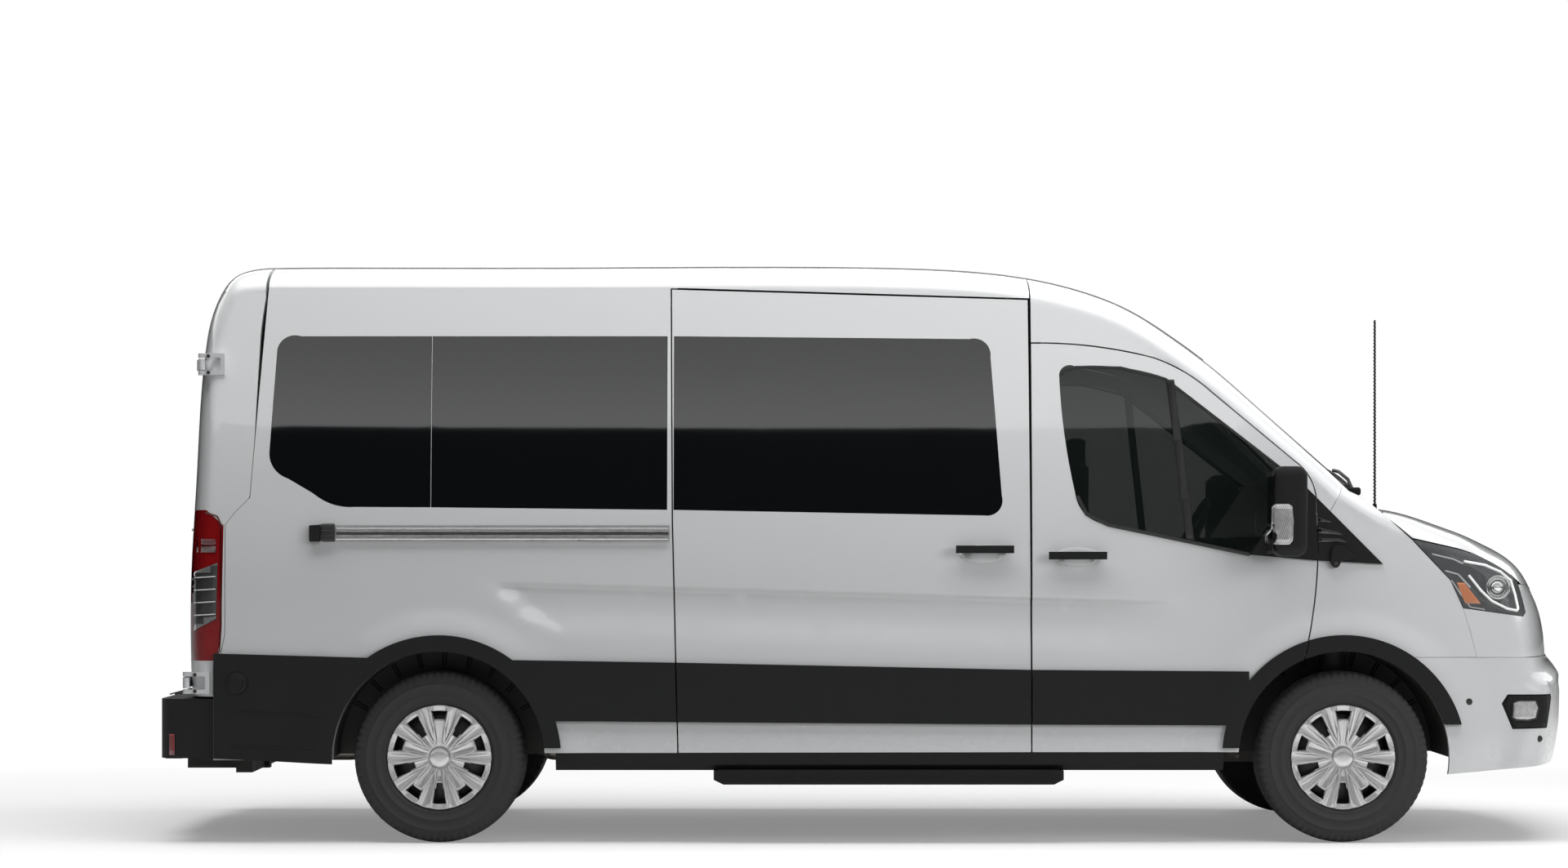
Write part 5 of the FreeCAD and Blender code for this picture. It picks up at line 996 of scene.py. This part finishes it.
# Blocks on a rear door: (door, where its panel is felt, rows of name, how far behind, place, size,
# look and edge).
REAR_DOOR_BLOCKS = (
    ("rear_door_right", (-0.075, 1.180), (
        ("rear_handle_base", 0.004, (-0.085, 1.180), (0.012, 0.100, 0.210), BLACK, 0.004),
        ("rear_handle", 0.016, (-0.085, 1.190), (0.016, 0.034, 0.150), BLACK, 0.006))),
    ("rear_door_left", (0.30, 0.960), (
        ("plate_holder", 0.003, (0.30, 0.960), (0.010, 0.340, 0.190), BLACK, 0.003),
        ("plate", 0.009, (0.30, 0.955), (0.003, 0.305, 0.152), PLATE, 0.0012))),
)


def dress_corner(hand, side, lamps, corner, flank):
    """What one rear corner shows: lamp parts, hinge screws, a boss, a black bar of painted shadow along the
    quarter cladding, a seam at its foot and a reflector.
    """
    flank_sheet("tail_smoke_" + hand, lamps, TAIL_MIDDLE, side, 0.003, SMOKED)
    for step in range(TAIL_RIBS):
        z = TAIL_RIB_LOW + TAIL_RIB_PITCH * step
        seam("tail_rib_%s_%d" % (hand, step), lamps, ((-2.800, z), (-2.706, z + TAIL_RIB_RISE)), side,
             0.0028, LAMP_RIB, out=0.005)
    flank_sheet("tail_square_" + hand, lamps, TAIL_SQUARE, side, 0.002, DARK_RED)
    seam("tail_rim_" + hand, lamps, TAIL_EDGE, side, 0.004, DARK_RED)
    for index, (x, z) in enumerate(HINGE_DOTS):
        disc_on("hinge_screw_%s_%d" % (hand, index), corner, x, z, side, HINGE_SCREW, SCREW, 20)
    disc_on("quarter_boss_" + hand, flank, *BOSS_PLACE, side, BOSS_PROFILE, BLACK, 48)
    # A black bar of painted shadow along the quarter cladding, and a black seam at its foot.
    for name, points in QUARTER_SHADOW_LINE_AND_SEAM:
        seam("quarter_%s_%s" % (name, hand), flank, points, side, 0.004, BLACK)
    flank_sheet("rear_reflector_" + hand, flank, REFLECTOR, side, 0.003, RED, pitch=0.02)


class VAN_OT_tail(bpy.types.Operator):
    """Tail lamps, stop lamp, rear door furniture, reflectors and the bumper's tread."""

    bl_idname = "van.tail"
    bl_label = "Dress the Rear"

    def execute(self, context):
        skins = (Skin("tail_lamps"), Skin("rear_corners", "rear_hinges"),
                 Skin("cladding", "rear_bumper", "side_panels"))
        for hand, side in SIDES.items():
            dress_corner(hand, side, *skins)
        prism("stop_lamp", STOP_LAMP, -0.13, 0.13, BLACK)
        block("stop_lamp_lens", (-2.759, 0.0, 2.358), (0.008, 0.22, 0.024), RED, edge=0.002)
        for index in range(STEP_RIBS):
            x = STEP_RIB_FIRST + STEP_RIB_PITCH * index
            block("step_rib_%d" % index, (x, 0.0, 0.6005), (0.008, 1.10, 0.005), BLACK, edge=0.0015)
        for hand, side in SIDES.items():
            panel = Skin("rear_door_" + hand)
            y = side * DOOR_RIB_MIDDLE
            for index, z in enumerate(DOOR_RIB_HEIGHTS):
                x = panel.ahead(-FAR, y, z, CAD_BOX[0][0]) - 0.001
                block("door_rib_%s_%d" % (hand, index), (x, y, z), (0.004, 0.62, 0.010), PAINT,
                      "rear_door_" + hand, 0.0015)
        for body, felt, rows in REAR_DOOR_BLOCKS:
            panel = Skin(body).ahead(-FAR, *felt, CAD_BOX[0][0])
            for name, back, (y, z), size, look, edge in rows:
                block(name, (panel - back, y, z), size, look, body, edge)
        return {"FINISHED"}


FOG_BEZEL = ((2.640, 0.578), (2.660, 0.610), (2.838, 0.610), (2.842, 0.598), (2.818, 0.480),
             (2.684, 0.477))
FOG_LENS = ((2.672, 0.520), (2.676, 0.582), (2.700, 0.590), (2.770, 0.590), (2.782, 0.560),
            (2.772, 0.517), (2.740, 0.508), (2.690, 0.510))
SENSORS = ((2.4915, 0.586), (2.788, 0.431))
SENSOR_PROFILE = ((0.0, 0.0140), (0.002, 0.0135), (0.002, 0.0125), (0.001, 0.012), (0.003, 0.010),
                  (0.003, 0.0))
# Grille meshes: (name, x of the middle, half width, lowest and highest place).
GRILLE_MESHES = (("grille_mesh", 2.775, 0.545, 0.800, 1.040),
                 ("lower_grille_mesh", 2.915, 0.455, 0.408, 0.566))
CELL_INNER, CELL_DEPTH, MESH_BEND = 0.80, 0.012, 0.055


def cell_ring(x, y, z, radius):
    """The six corners of a cell."""
    angles = [math.pi / 6 + corner * math.pi / 3 for corner in range(6)]
    return [(x, y + radius * math.cos(angle), z + radius * math.sin(angle)) for angle in angles]


def honeycomb(name, back, half, low, high):
    """A mesh of thin walls behind a grille's bars."""
    pitch = settings().mesh_pitch
    radius = pitch / math.sqrt(3)
    inner = radius * CELL_INNER
    verts, faces = [], []
    for row in range(int((high - low) / (1.5 * radius))):
        z = low + radius + 1.5 * radius * row
        for column in range(int(2 * half / pitch)):
            y = -half + pitch * (column + 0.75 + 0.5 * (row % 2))
            if abs(y) > half - pitch / 2:
                continue
            start = len(verts)
            x = back - MESH_BEND * (abs(y) / half) ** 2
            verts += cell_ring(x, y, z, radius) + cell_ring(x, y, z, inner)
            verts += cell_ring(x - CELL_DEPTH, y, z, inner)
            for corner in range(6):
                after = (corner + 1) % 6
                for first in (start, start + 6):
                    faces.append((first + corner, first + after, first + 6 + after, first + 6 + corner))
    return piece(name, verts, faces, BLACK, smooth=False)


class VAN_OT_front(bpy.types.Operator):
    """Grille meshes, fog lamps and parking sensors."""

    bl_idname = "van.front"
    bl_label = "Dress the Front"

    def execute(self, context):
        bumper = Skin("front_bumper", "grille")
        for hand, side in SIDES.items():
            flank_sheet("fog_bezel_" + hand, bumper, FOG_BEZEL, side, 0.004, BLACK, wall=0.006, pitch=0.02)
            flank_sheet("fog_lens_" + hand, bumper, FOG_LENS, side, 0.011, GLINT_LENS, wall=0.004,
                        pitch=0.015)
            seam("fog_rim_" + hand, bumper, FOG_LENS + FOG_LENS[:1], side, 0.0045, SATIN, out=0.010)
            for index, (x, z) in enumerate(SENSORS):
                disc_on("park_sensor_%s_%d" % (hand, index), bumper, x, z, side, SENSOR_PROFILE, SATIN, 32)
        for row in GRILLE_MESHES:
            honeycomb(*row)
        return {"FINISHED"}


DOOR_BAR = ((1.234, 1.924), (1.268, 1.924), (1.347, 1.254), (1.313, 1.254))
DOOR_SEAL = ((0.800, 1.945), (0.806, 1.960), (0.860, 1.976), (1.046, 1.974), (1.230, 1.928),
             (1.780, 1.500))
DOOR_BELT = ((0.862, 1.440), (0.900, 1.365), (0.990, 1.320), (1.575, 1.198))
SAIL_RIBS = (((1.862, 1.352), (1.912, 1.336), (1.912, 1.330), (1.862, 1.334)),
             ((1.862, 1.310), (1.950, 1.290), (1.965, 1.277), (1.862, 1.286)),
             ((1.862, 1.266), (1.950, 1.264), (1.981, 1.248), (1.862, 1.250)))
SAIL_BULGE = ((1.908, 1.168), (1.914, 1.222), (1.930, 1.238), (1.962, 1.232), (2.020, 1.188),
              (1.985, 1.176), (1.955, 1.170), (1.946, 1.148), (1.932, 1.141), (1.918, 1.148))
SAIL_FELT, BULGE_OUT, BULGE_IN = (1.94, 1.19), 0.016, 0.010
SAIL_SCREW_PLACE = (1.932, 1.160)
SAIL_SCREW = ((0.014, 0.0085), (0.0175, 0.008), (0.0175, 0.0045), (0.0165, 0.004), (0.0165, 0.0))
TURN_LENS = ((1.642, 1.250), (1.654, 1.243), (1.706, 1.243), (1.718, 1.258), (1.722, 1.330),
             (1.716, 1.394), (1.704, 1.402), (1.656, 1.402), (1.644, 1.392))
MIRROR_START, MIRROR_FELT, MIRROR_X = 0.5, (1.13, 1.42), 1.645
MIRROR_MIDDLE = 1.125
MIRROR_GLASSES = (("main", 1.325, 1.520), ("wide", 1.215, 1.312))
MIRROR_BARS = (1.2085, 1.3185, 1.527)
TRACK_BACK, TRACK_FRONT, TRACK_MIDDLE = -2.205, -0.832, 1.2845
TRACK_LIPS = (1.262, 1.307)
TRACK_CAP = ((-2.318, 1.256), (-2.318, 1.316), (-2.300, 1.319), (-2.212, 1.319), (-2.212, 1.253),
             (-2.300, 1.253))
CAP_GROOVE = ((-2.290, 1.298), (-2.218, 1.298))
# Sheets of painted shade for the hollows behind the handles: (name, body, x, half length, height, side).
SCOOPS = (("slide", "body", 0.469, 0.0968, 1.199, -1),
          ("door_right", "front_door_right", 0.861, 0.096, 1.188, -1),
          ("door_left", "front_door_left", 0.861, 0.096, 1.188, 1))
SCOOP_LEVEL, SCOOP_HALF, SCOOP_CORNERS = 1.195, 0.040, 28
# Ribs of the boarding step: (name, count, back, front, first y, y pitch, first z, z pitch, radius).
BOARD_RIBS = (("board_rib_%d", 6, -0.625, 0.785, -1.024, 0.026, 0.3045, 0.0, 0.0032),
              ("board_face_rib_%d", 3, -0.630, 0.790, -1.0325, 0.0, 0.262, 0.015, 0.0022))
LINER_RADII, LINER_START, LINER_LIFT = (0.372, 0.405, 0.435), 0.90, 0.002
LINER_RIBS, LINER_FIRST, LINER_STEP, LINER_HALF = 9, 30, 15, 0.9
LINER_RIB_RADIUS = 0.0032


def dress_mirror(hand, side, body):
    """The glasses, turn lamp and bezel of a door mirror."""
    shell = Skin("front_door_trim_" + hand)
    flank_sheet("turn_lens_" + hand, shell, TURN_LENS, side, 0.003, GLINT_LENS, body, 0.006, 0.02)
    seam("turn_rim_" + hand, shell, TURN_LENS + TURN_LENS[:1], side, 0.0045, BRIGHT, body, 0.003)
    rear = shell.ahead(MIRROR_START, side * MIRROR_FELT[0], MIRROR_FELT[1], MIRROR_X)
    y = side * MIRROR_MIDDLE
    for name, low, high in MIRROR_GLASSES:
        block("mirror_%s_%s" % (name, hand), (rear - 0.002, y, (low + high) / 2),
              (0.004, 0.170, high - low), MIRROR, body, 0.0015)
    for index, z in enumerate(MIRROR_BARS):
        block("mirror_frame_%s_%d" % (hand, index), (rear - 0.003, y, z), (0.008, 0.190, 0.010), SATIN,
              body, 0.002)


def dress_door(hand, side, sail):
    """A front door's glass bar and seals, its mirror and the sail in front of it."""
    body = "front_door_" + hand
    pane = Skin("front_door_glass_" + hand)
    flank_sheet("door_bar_" + hand, pane, DOOR_BAR, side, 0.001, SATIN, body, 0.004)
    seam("door_belt_" + hand, pane, DOOR_BELT, side, 0.008, SATIN, body)
    seam("door_seal_" + hand, pane, DOOR_SEAL, side, 0.006, SATIN, body)
    dress_mirror(hand, side, body)
    for index, outline in enumerate(SAIL_RIBS):
        flank_sheet("sail_rib_%s_%d" % (hand, index), sail, outline, side, 0.002, GLOSS, wall=0.004,
                    pitch=0.02)
    y = sail.side(*SAIL_FELT, side)
    bulge = prism("sail_bulge_" + hand, SAIL_BULGE, y + side * BULGE_OUT, y - side * BULGE_IN, BLACK)
    soften(bulge, 0.006)
    disc_on("sail_screw_" + hand, sail, *SAIL_SCREW_PLACE, side, SAIL_SCREW, SCREW, 24)


def liner_line(liner, axle, side, degrees):
    """A rib across a wheel arch liner, or nothing where a ray misses the liner."""
    angle = math.radians(degrees)
    line = []
    for radius in LINER_RADII:
        x, z = axle[0] + radius * math.cos(angle), axle[2] + radius * math.sin(angle)
        found = liner.hit((x, side * LINER_START, z), (0, -side, 0))
        if found is None:
            return None
        line.append((x, found.y + side * LINER_LIFT, z))
    return line


def liner_ribs():
    """Paired ribs pressed into the wheel arch liners."""
    liner = Skin("floor")
    angles = [LINER_FIRST + LINER_STEP * index + offset for index in range(LINER_RIBS)
              for offset in (-LINER_HALF, LINER_HALF)]
    for end in ENDS:
        axle = middle_of("wheel_%s_right" % end)
        for hand, side in SIDES.items():
            found = [liner_line(liner, axle, side, angle) for angle in angles]
            lines = [line for line in found if line]
            if lines:
                tubes("liner_ribs_%s_%s" % (end, hand), lines, LINER_RIB_RADIUS, BLACK)


def slide_track():
    """The sliding door's track with its slot, lips and end cap."""
    track = Skin("slide_track", "side_panels")
    slot = ((TRACK_BACK, TRACK_MIDDLE), (TRACK_FRONT, TRACK_MIDDLE))
    seam("slide_slot", track, slot, -1, 0.006, GLOSS, out=0.001)
    for index, z in enumerate(TRACK_LIPS):
        seam("slide_lip_%d" % index, track, ((TRACK_BACK, z), (TRACK_FRONT, z)), -1, 0.004, BRIGHT,
             out=0.001)
    flank_sheet("slide_cap", track, TRACK_CAP, -1, 0.009, SATIN, wall=0.014, pitch=0.02)
    seam("slide_cap_groove", track, CAP_GROOVE, -1, 0.003, GLOSS, out=0.016)


class VAN_OT_sides(bpy.types.Operator):
    """Door glass bars, mirrors, liner ribs, the slide track, painted shade sheets for the handle hollows,
    and the boarding step.
    """

    bl_idname = "van.sides"
    bl_label = "Dress the Sides"

    def execute(self, context):
        sail = Skin("cladding")
        for hand, side in SIDES.items():
            dress_door(hand, side, sail)
        liner_ribs()
        slide_track()
        panel = Skin("sliding_door", "front_door_right", "front_door_left", "side_panels")
        for name, body, x, half, z, side in SCOOPS:
            angles = [TURN * corner / SCOOP_CORNERS for corner in range(SCOOP_CORNERS)]
            hollow = [(x + half * math.cos(a), z + SCOOP_HALF * math.sin(a)) for a in angles]
            # The shade of each handle hollow is painted on a thin sheet laid over the panel.
            flank_sheet("handle_scoop_" + name, panel, hollow, side, 0.0006, HOLLOW_SHADE, body, 0.001, 0.02)
        for name, count, back, front, y, y_pitch, z, z_pitch, radius in BOARD_RIBS:
            for index in range(count):
                place = (y + y_pitch * index, z + z_pitch * index)
                tubes(name % index, [[(back, *place), (front, *place)]], radius, BLACK)
        return {"FINISHED"}


ANTENNA = (2.125, -0.799)
COIL_TURNS, COIL_STEPS, COIL_LOW, COIL_TOP = 52, 8, 1.415, 2.178
COIL_RADIUS, COIL_TAPER, COIL_WIRE = 0.0062, 0.0012, 0.0014
# The antenna's foot: (height, radius).
FOOT_PROFILE = ((0.0, 0.026), (0.010, 0.024), (0.020, 0.016), (0.050, 0.011), (0.095, 0.008))
FOOT_STEPS, FOOT_SUNK, FOOT_HEIGHT = 32, 0.004, 1.33
WIPERS = (("right", (2.035, -0.800), (1.990, -0.080)), ("left", (2.045, 0.060), (2.010, 0.760)))
WIPER_HEIGHT, BLADE_LIFT, BLADE_START, BLADE_STEPS = 1.42, 0.009, 0.12, 12
# Places of a wiper's arm: (share of the way to its tip, height over the glass).
WIPER_ARM = ((0.0, 0.014), (0.15, 0.036), (0.40, 0.034), (0.55, 0.024))
# Strips of the screen's border: shares across and down the screen where each starts and ends.
SCREEN_BORDER = ((0.0, 1.0, 0.0, 0.045), (0.0, 1.0, 0.900, 1.0), (0.0, 0.035, 0.045, 0.900),
                 (0.965, 1.0, 0.045, 0.900))
# The screen's top and foot: (x, half width, z).
SCREEN_TOP = (1.447, 0.700 * 0.98, 2.047)
SCREEN_FOOT = (2.153, 0.860 * 0.98, 1.425)
BORDER_COLUMNS, BORDER_ROWS = 28, 12
BORDER_LIFT = Vector((0.0010, 0, 0.0012))


def round_mast(radius, angle, z):
    """A place round the antenna's upright line."""
    return (ANTENNA[0] + radius * math.cos(angle), ANTENNA[1] + radius * math.sin(angle), z)


def antenna():
    """A spiral rod on a cone that stands on the wing."""
    count = COIL_TURNS * COIL_STEPS
    coil = [round_mast(COIL_RADIUS - COIL_TAPER * step / count, TURN * step / COIL_STEPS,
                       COIL_LOW + (COIL_TOP - COIL_LOW) * step / count) for step in range(count)]
    tubes("antenna_coil", [coil], COIL_WIRE, SATIN)
    base = Skin("hood", "front_fenders", "body_posts", "cab_shell")
    z = base.under(*ANTENNA, FOOT_HEIGHT) - FOOT_SUNK
    verts = [round_mast(radius, TURN * step / FOOT_STEPS, z + height)
             for step in range(FOOT_STEPS) for height, radius in FOOT_PROFILE]
    piece("antenna_foot", verts, turned_over(ring_faces(FOOT_STEPS, len(FOOT_PROFILE))), BLACK)


def wiper(name, screen, pivot, tip):
    """An arm from its pivot and a blade resting on the glass."""
    def rest(share, lift):
        x, y = (start + (end - start) * share for start, end in zip(pivot, tip))
        return Vector((x, y, screen.under(x, y, WIPER_HEIGHT) + lift))
    arm = [rest(share, lift) for share, lift in WIPER_ARM]
    tubes("wiper_arm_" + name, [arm], 0.0075, SATIN)
    shares = [BLADE_START + (1 - BLADE_START) * step / BLADE_STEPS for step in range(BLADE_STEPS + 1)]
    tubes("wiper_blade_" + name, [[rest(share, BLADE_LIFT) for share in shares]], 0.0065, SATIN)
    block("wiper_cap_" + name, arm[0], (0.060, 0.040, 0.034), BLACK, edge=0.010)


def border(index, pane, u0, u1, v0, v1):
    """A strip of the black printed border, laid on the screen from the front."""
    verts = []
    for i in range(BORDER_COLUMNS + 1):
        for j in range(BORDER_ROWS + 1):
            u = u0 + (u1 - u0) * i / BORDER_COLUMNS
            v = v0 + (v1 - v0) * j / BORDER_ROWS
            x, half, z = (top + (foot - top) * v for top, foot in zip(SCREEN_TOP, SCREEN_FOOT))
            y = (2 * u - 1) * half
            verts.append((pane.hit((FAR, y, z), (-1, 0, 0)) or pane.near((x, y, z))) + BORDER_LIFT)
    faces = turned_over(grid_faces(BORDER_COLUMNS, BORDER_ROWS))
    piece("screen_border_%d" % index, verts, faces, PRINT)


class VAN_OT_roof(bpy.types.Operator):
    """Antenna, wipers and the windscreen's printed border."""

    bl_idname = "van.roof"
    bl_label = "Dress the Cab"

    def execute(self, context):
        antenna()
        screen = Skin("windscreen", "cab_shell")
        for row in WIPERS:
            wiper(row[0], screen, *row[1:])
        pane = Skin("windscreen")
        for index, strip in enumerate(SCREEN_BORDER):
            border(index, pane, *strip)
        return {"FINISHED"}


FLOOR_TOP, SEAT_TOP, SEAT_LENGTH, SEAT_WALL = 0.690, 1.020, 0.500, 0.120
FRONT_ROW = 0.897
REAR_ROWS = tuple(0.1495 - 0.870 * row for row in range(4))
# Seats of a row: (right edge, width).
FRONT_PLACES = ((-0.710, 0.500), (0.210, 0.500))
REAR_PLACES = ((0.081, 0.700), (-0.810, 0.460))
# Sewn channels of a cushion: (axis, place, width), in shares of its half size.
CHANNELS = ((1, -0.62, 0.05), (1, 0.62, 0.05), (0, -0.15, 0.05))
CHANNEL_DEPTH, PAD_CUTS, CORNER_PULL, ROUNDING, WAIST_FADE = 0.007, 22, 0.035, 0.030, 0.4
REST_HEIGHT, REST_WIDTH, REST_SHARE = 1.628, 0.270, 0.62
POST_APART, POST_LOW, POST_TOP = 0.062, 1.530, 1.580
# Dashboard vents: (middle, width).
VENTS = ((-0.66, 0.13), (-0.05, 0.13), (0.15, 0.13), (0.76, 0.07))


def pad_place(u, v, w, size, puff, sides, channels):
    """Where a place of the unit cube (-1 to 1 each way) goes in a crowned cushion."""
    bulge = puff * ((1 - u ** 4) * (1 - v ** 4)) * w * abs(w)
    waist = sides * (1 - w * w)
    sink = sum(CHANNEL_DEPTH * math.exp(-(((u, v)[axis] - place) / wide) ** 2) * max(w, 0)
               for axis, place, wide in channels)
    corner = 1 - CORNER_PULL * (u * u * v * v)
    length = u * (size[0] / 2 - waist * (1 - WAIST_FADE * abs(v))) * corner
    across = v * (size[1] / 2 - waist * (1 - WAIST_FADE * abs(u))) * corner
    high = w * (size[2] / 2 - puff) + bulge - sink
    edge = max(abs(u), abs(v), abs(w)) ** 8
    round_off = 1 - ROUNDING * edge * (abs(u * v) + abs(v * w) + abs(u * w)) / 2
    return Vector((length, across, high)) * round_off


def pad(name, centre, size, puff, sides, channels=()):
    """A crowned cushion: its faces swell, its sides pull in, and sewn channels cross its top."""
    bm = bmesh.new()
    bmesh.ops.create_cube(bm, size=1.0)
    bmesh.ops.subdivide_edges(bm, edges=bm.edges, cuts=PAD_CUTS, use_grid_fill=True)
    for vert in bm.verts:
        u, v, w = (2 * value for value in vert.co)
        vert.co = Vector(centre) + pad_place(u, v, w, size, puff, sides, channels)
    soft = from_bmesh(name, bm, CLOTH)
    return soft


def seat(name, x, y, width, places):
    """A seat or bench with its cushions, backs, head rests and shell; its first cushion."""
    share = width / places
    made = []
    for index in range(places):
        middle = y + share * (index + 0.5)
        tag = "%s_%d" % (name, index)
        made.append(pad("cushion_" + tag, (x + SEAT_LENGTH / 2 + 0.01, middle, SEAT_TOP - 0.058),
                        (SEAT_LENGTH - 0.03, share - 0.014, SEAT_WALL - 0.012), 0.020, 0.010,
                        CHANNELS))
        pad("back_" + tag, (x, middle, SEAT_TOP + 0.270), (0.085, share - 0.016, 0.600), 0.014, 0.006)
        pad("rest_" + tag, (x, middle, REST_HEIGHT), (0.074, min(share * REST_SHARE, REST_WIDTH), 0.128),
            0.014, 0.006)
        for hand, side in SIDES.items():
            post = middle + side * POST_APART
            tubes("rest_post_%s_%s" % (tag, hand), [[(x, post, POST_LOW), (x, post, POST_TOP)]], 0.006,
                  BRIGHT)
    centre = y + width / 2
    block("seat_shell_" + name, (x - 0.050, centre, SEAT_TOP + 0.200), (0.012, width - 0.03, 0.520),
          CABIN, edge=0.005)
    block("seat_base_" + name, (x + 0.25, centre, FLOOR_TOP + 0.120), (0.34, width - 0.170, 0.200),
          CABIN, edge=0.012)
    block("seat_frame_" + name, (x + 0.25, centre, SEAT_TOP - 0.130), (0.40, width - 0.06, 0.022), DARK,
          edge=0.005)
    return made[0]


class VAN_OT_cabin(bpy.types.Operator):
    """Padded seats and what stands on the dashboard."""

    bl_idname = "van.cabin"
    bl_label = "Fit the Cabin"

    def execute(self, context):
        front = [seat("front_%d" % index, FRONT_ROW, y, width, 1)
                 for index, (y, width) in enumerate(FRONT_PLACES)]
        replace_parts(front[0], "front_seats")
        rear = [seat("row_%d_%d" % (row, index), x, y, width, 2 - index)
                for row, x in enumerate(REAR_ROWS) for index, (y, width) in enumerate(REAR_PLACES)]
        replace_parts(rear[0], "rear_seats")
        for index, (y, width) in enumerate(VENTS):
            block("dash_vent_%d" % index, (1.566, y, 1.150), (0.012, width, 0.055), VENT)
            for row in range(3):
                block("vent_blade_%d_%d" % (index, row), (1.560, y, 1.135 + 0.015 * row),
                      (0.010, width - 0.02, 0.003), BLADE, edge=0.001)
        block("dash_screen", (1.562, 0.0, 1.215), (0.016, 0.220, 0.100), VENT)
        block("instrument_hood", (1.600, 0.460, 1.245), (0.150, 0.380, 0.040), CABIN, edge=0.015)
        return {"FINISHED"}


FLOOR_HALF = 60.0
# How far the floor reaches before it fades into the background, along the van and across it.
FADE_ALONG, FADE_ACROSS, FADE_MIDDLE = 6.0, 4.2, -0.4
BAND_LOW, BAND_TOP = 0.235, 0.42
# Softboxes: (name, place, aim, size, share of the power).
SOFTBOXES = (
    ("roof_softbox", (0, -1.0, 7.5), (0, 0, 0), (11.0, 6.0), 1.0),
    ("camera_side_softbox", (4.0, -10.0, 5.5), (0.5, 0, 1.0), (8.0, 3.0), 0.07),
    ("front_softbox", (8.0, -6.5, 3.6), (1.8, -0.5, 0.9), (5.0, 3.5), 0.30),
    ("far_side_softbox", (0.0, 9.0, 6.0), (0, 0, 1.0), (10.0, 4.0), 0.15),
)


def studio_floor():
    """A white floor that fades into the background for the camera."""
    graph = Graph("studio_floor")
    across, along, _ = graph.axes(graph.place())
    away = ((across / FADE_ALONG) ** 2.0 + ((along - FADE_MIDDLE) / FADE_ACROSS) ** 2.0) ** 0.5
    seen, glossy = graph.ray("Camera", "Glossy")
    tone = graph.mix(seen.larger(glossy), grey(0.32), grey(0.93))
    graph.finish(Base_Color=tone, Roughness=0.75, Specular_IOR_Level=0.1)
    light = graph.add("ShaderNodeEmission", None, grey(1.0))
    fade = away.ramp(0.70, 1.30, 0.25, 1.0) * seen
    blend = graph.add("ShaderNodeMixShader", None, fade, Signal(graph, graph.surface.outputs[0]), light)
    graph.plug(graph.tree.nodes["Material Output"].inputs["Surface"], blend)
    corners = [(x * FLOOR_HALF, y * FLOOR_HALF, 0) for x, y in ((-1, -1), (1, -1), (1, 1), (-1, 1))]
    mesh = bpy.data.meshes.new("studio_floor")
    mesh.from_pydata(corners, [], [(0, 1, 2, 3)])
    mesh.materials.append(graph.material)
    floor = bpy.data.objects.new("studio_floor", mesh)
    bpy.context.scene.collection.objects.link(floor)


def studio_world(scene):
    """White to the eye, a soft grey room for light, and a bright band over dark walls to mirror."""
    world = bpy.data.worlds.new("studio")
    scene.world = world
    world.use_nodes = True
    graph = Graph.over(world.node_tree)
    seen, glossy = graph.ray("Camera", "Glossy")
    height = graph.axes(graph.add("ShaderNodeTexCoord", output="Generated"))[2]
    bright = settings().band
    band = height.above(BAND_LOW) * height.ramp(BAND_LOW, BAND_TOP, bright, 0.30 * bright)
    room = height.ramp(-0.2, 1.0, 0.05, 0.20)
    tone = band * glossy + room * (1 - glossy)
    light = graph.add("ShaderNodeBackground", None, grey(1.0), tone * (1 - seen) + seen)
    graph.add("ShaderNodeOutputWorld", None, light)


def softbox(name, place, aim, size, power):
    """A rectangular lamp that mirrors nowhere."""
    light = bpy.data.lights.new(name, "AREA")
    light.shape = "RECTANGLE"
    light.size, light.size_y = size
    light.energy = power
    lamp = bpy.data.objects.new(name, light)
    lamp.location = place
    lamp.rotation_euler = (Vector(aim) - Vector(place)).to_track_quat("-Z", "Y").to_euler()
    lamp.visible_glossy = False
    bpy.context.scene.collection.objects.link(lamp)


def photo_camera(scene):
    """The camera of the photograph, level and square to the van."""
    data = bpy.data.cameras.new("photo_camera")
    data.lens = scene.van_camera.lens
    data.sensor_width = 36.0
    data.shift_x = 0.008
    data.shift_y = 0.064
    camera = bpy.data.objects.new("photo_camera", data)
    camera.location = scene.van_camera.place
    camera.rotation_euler = (math.radians(90), 0, 0)
    scene.collection.objects.link(camera)
    scene.camera = camera
    scene.view_settings.view_transform = "Standard"


class VAN_OT_stage(bpy.types.Operator):
    """White studio: floor, world, softboxes and camera."""

    bl_idname = "van.stage"
    bl_label = "Light the Studio"

    def execute(self, context):
        scene = context.scene
        studio_floor()
        studio_world(scene)
        for name, place, aim, size, share in SOFTBOXES:
            softbox(name, place, aim, size, share * scene.van_camera.lamp_power)
        photo_camera(scene)
        return {"FINISHED"}


class VAN_PT_sidebar(bpy.types.Panel):
    """The van's steps and settings."""

    bl_label = "Passenger Van"
    bl_space_type = "VIEW_3D"
    bl_region_type = "UI"
    bl_category = "Van"

    def draw(self, context):
        for group in (context.scene.van_finish, context.scene.van_camera):
            for name in group.__annotations__:
                self.layout.prop(group, name)
        for operator in OPERATORS:
            self.layout.operator(operator.bl_idname)


OPERATORS = (VAN_OT_finishes, VAN_OT_tyres, VAN_OT_wheels, VAN_OT_head_lamps, VAN_OT_tail,
             VAN_OT_front, VAN_OT_sides, VAN_OT_roof, VAN_OT_cabin, VAN_OT_stage)
CLASSES = (VanFinish, VanCamera) + OPERATORS + (VAN_PT_sidebar,)


def register():
    for item in CLASSES:
        bpy.utils.register_class(item)
    bpy.types.Scene.van_finish = bpy.props.PointerProperty(type=VanFinish)
    bpy.types.Scene.van_camera = bpy.props.PointerProperty(type=VanCamera)


def unregister():
    del bpy.types.Scene.van_camera
    del bpy.types.Scene.van_finish
    for item in reversed(CLASSES):
        bpy.utils.unregister_class(item)


def main():
    register()
    for operator in OPERATORS:
        step = operator.bl_idname.split(".")[1]
        getattr(bpy.ops.van, step)()


if __name__ == "__main__":
    main()
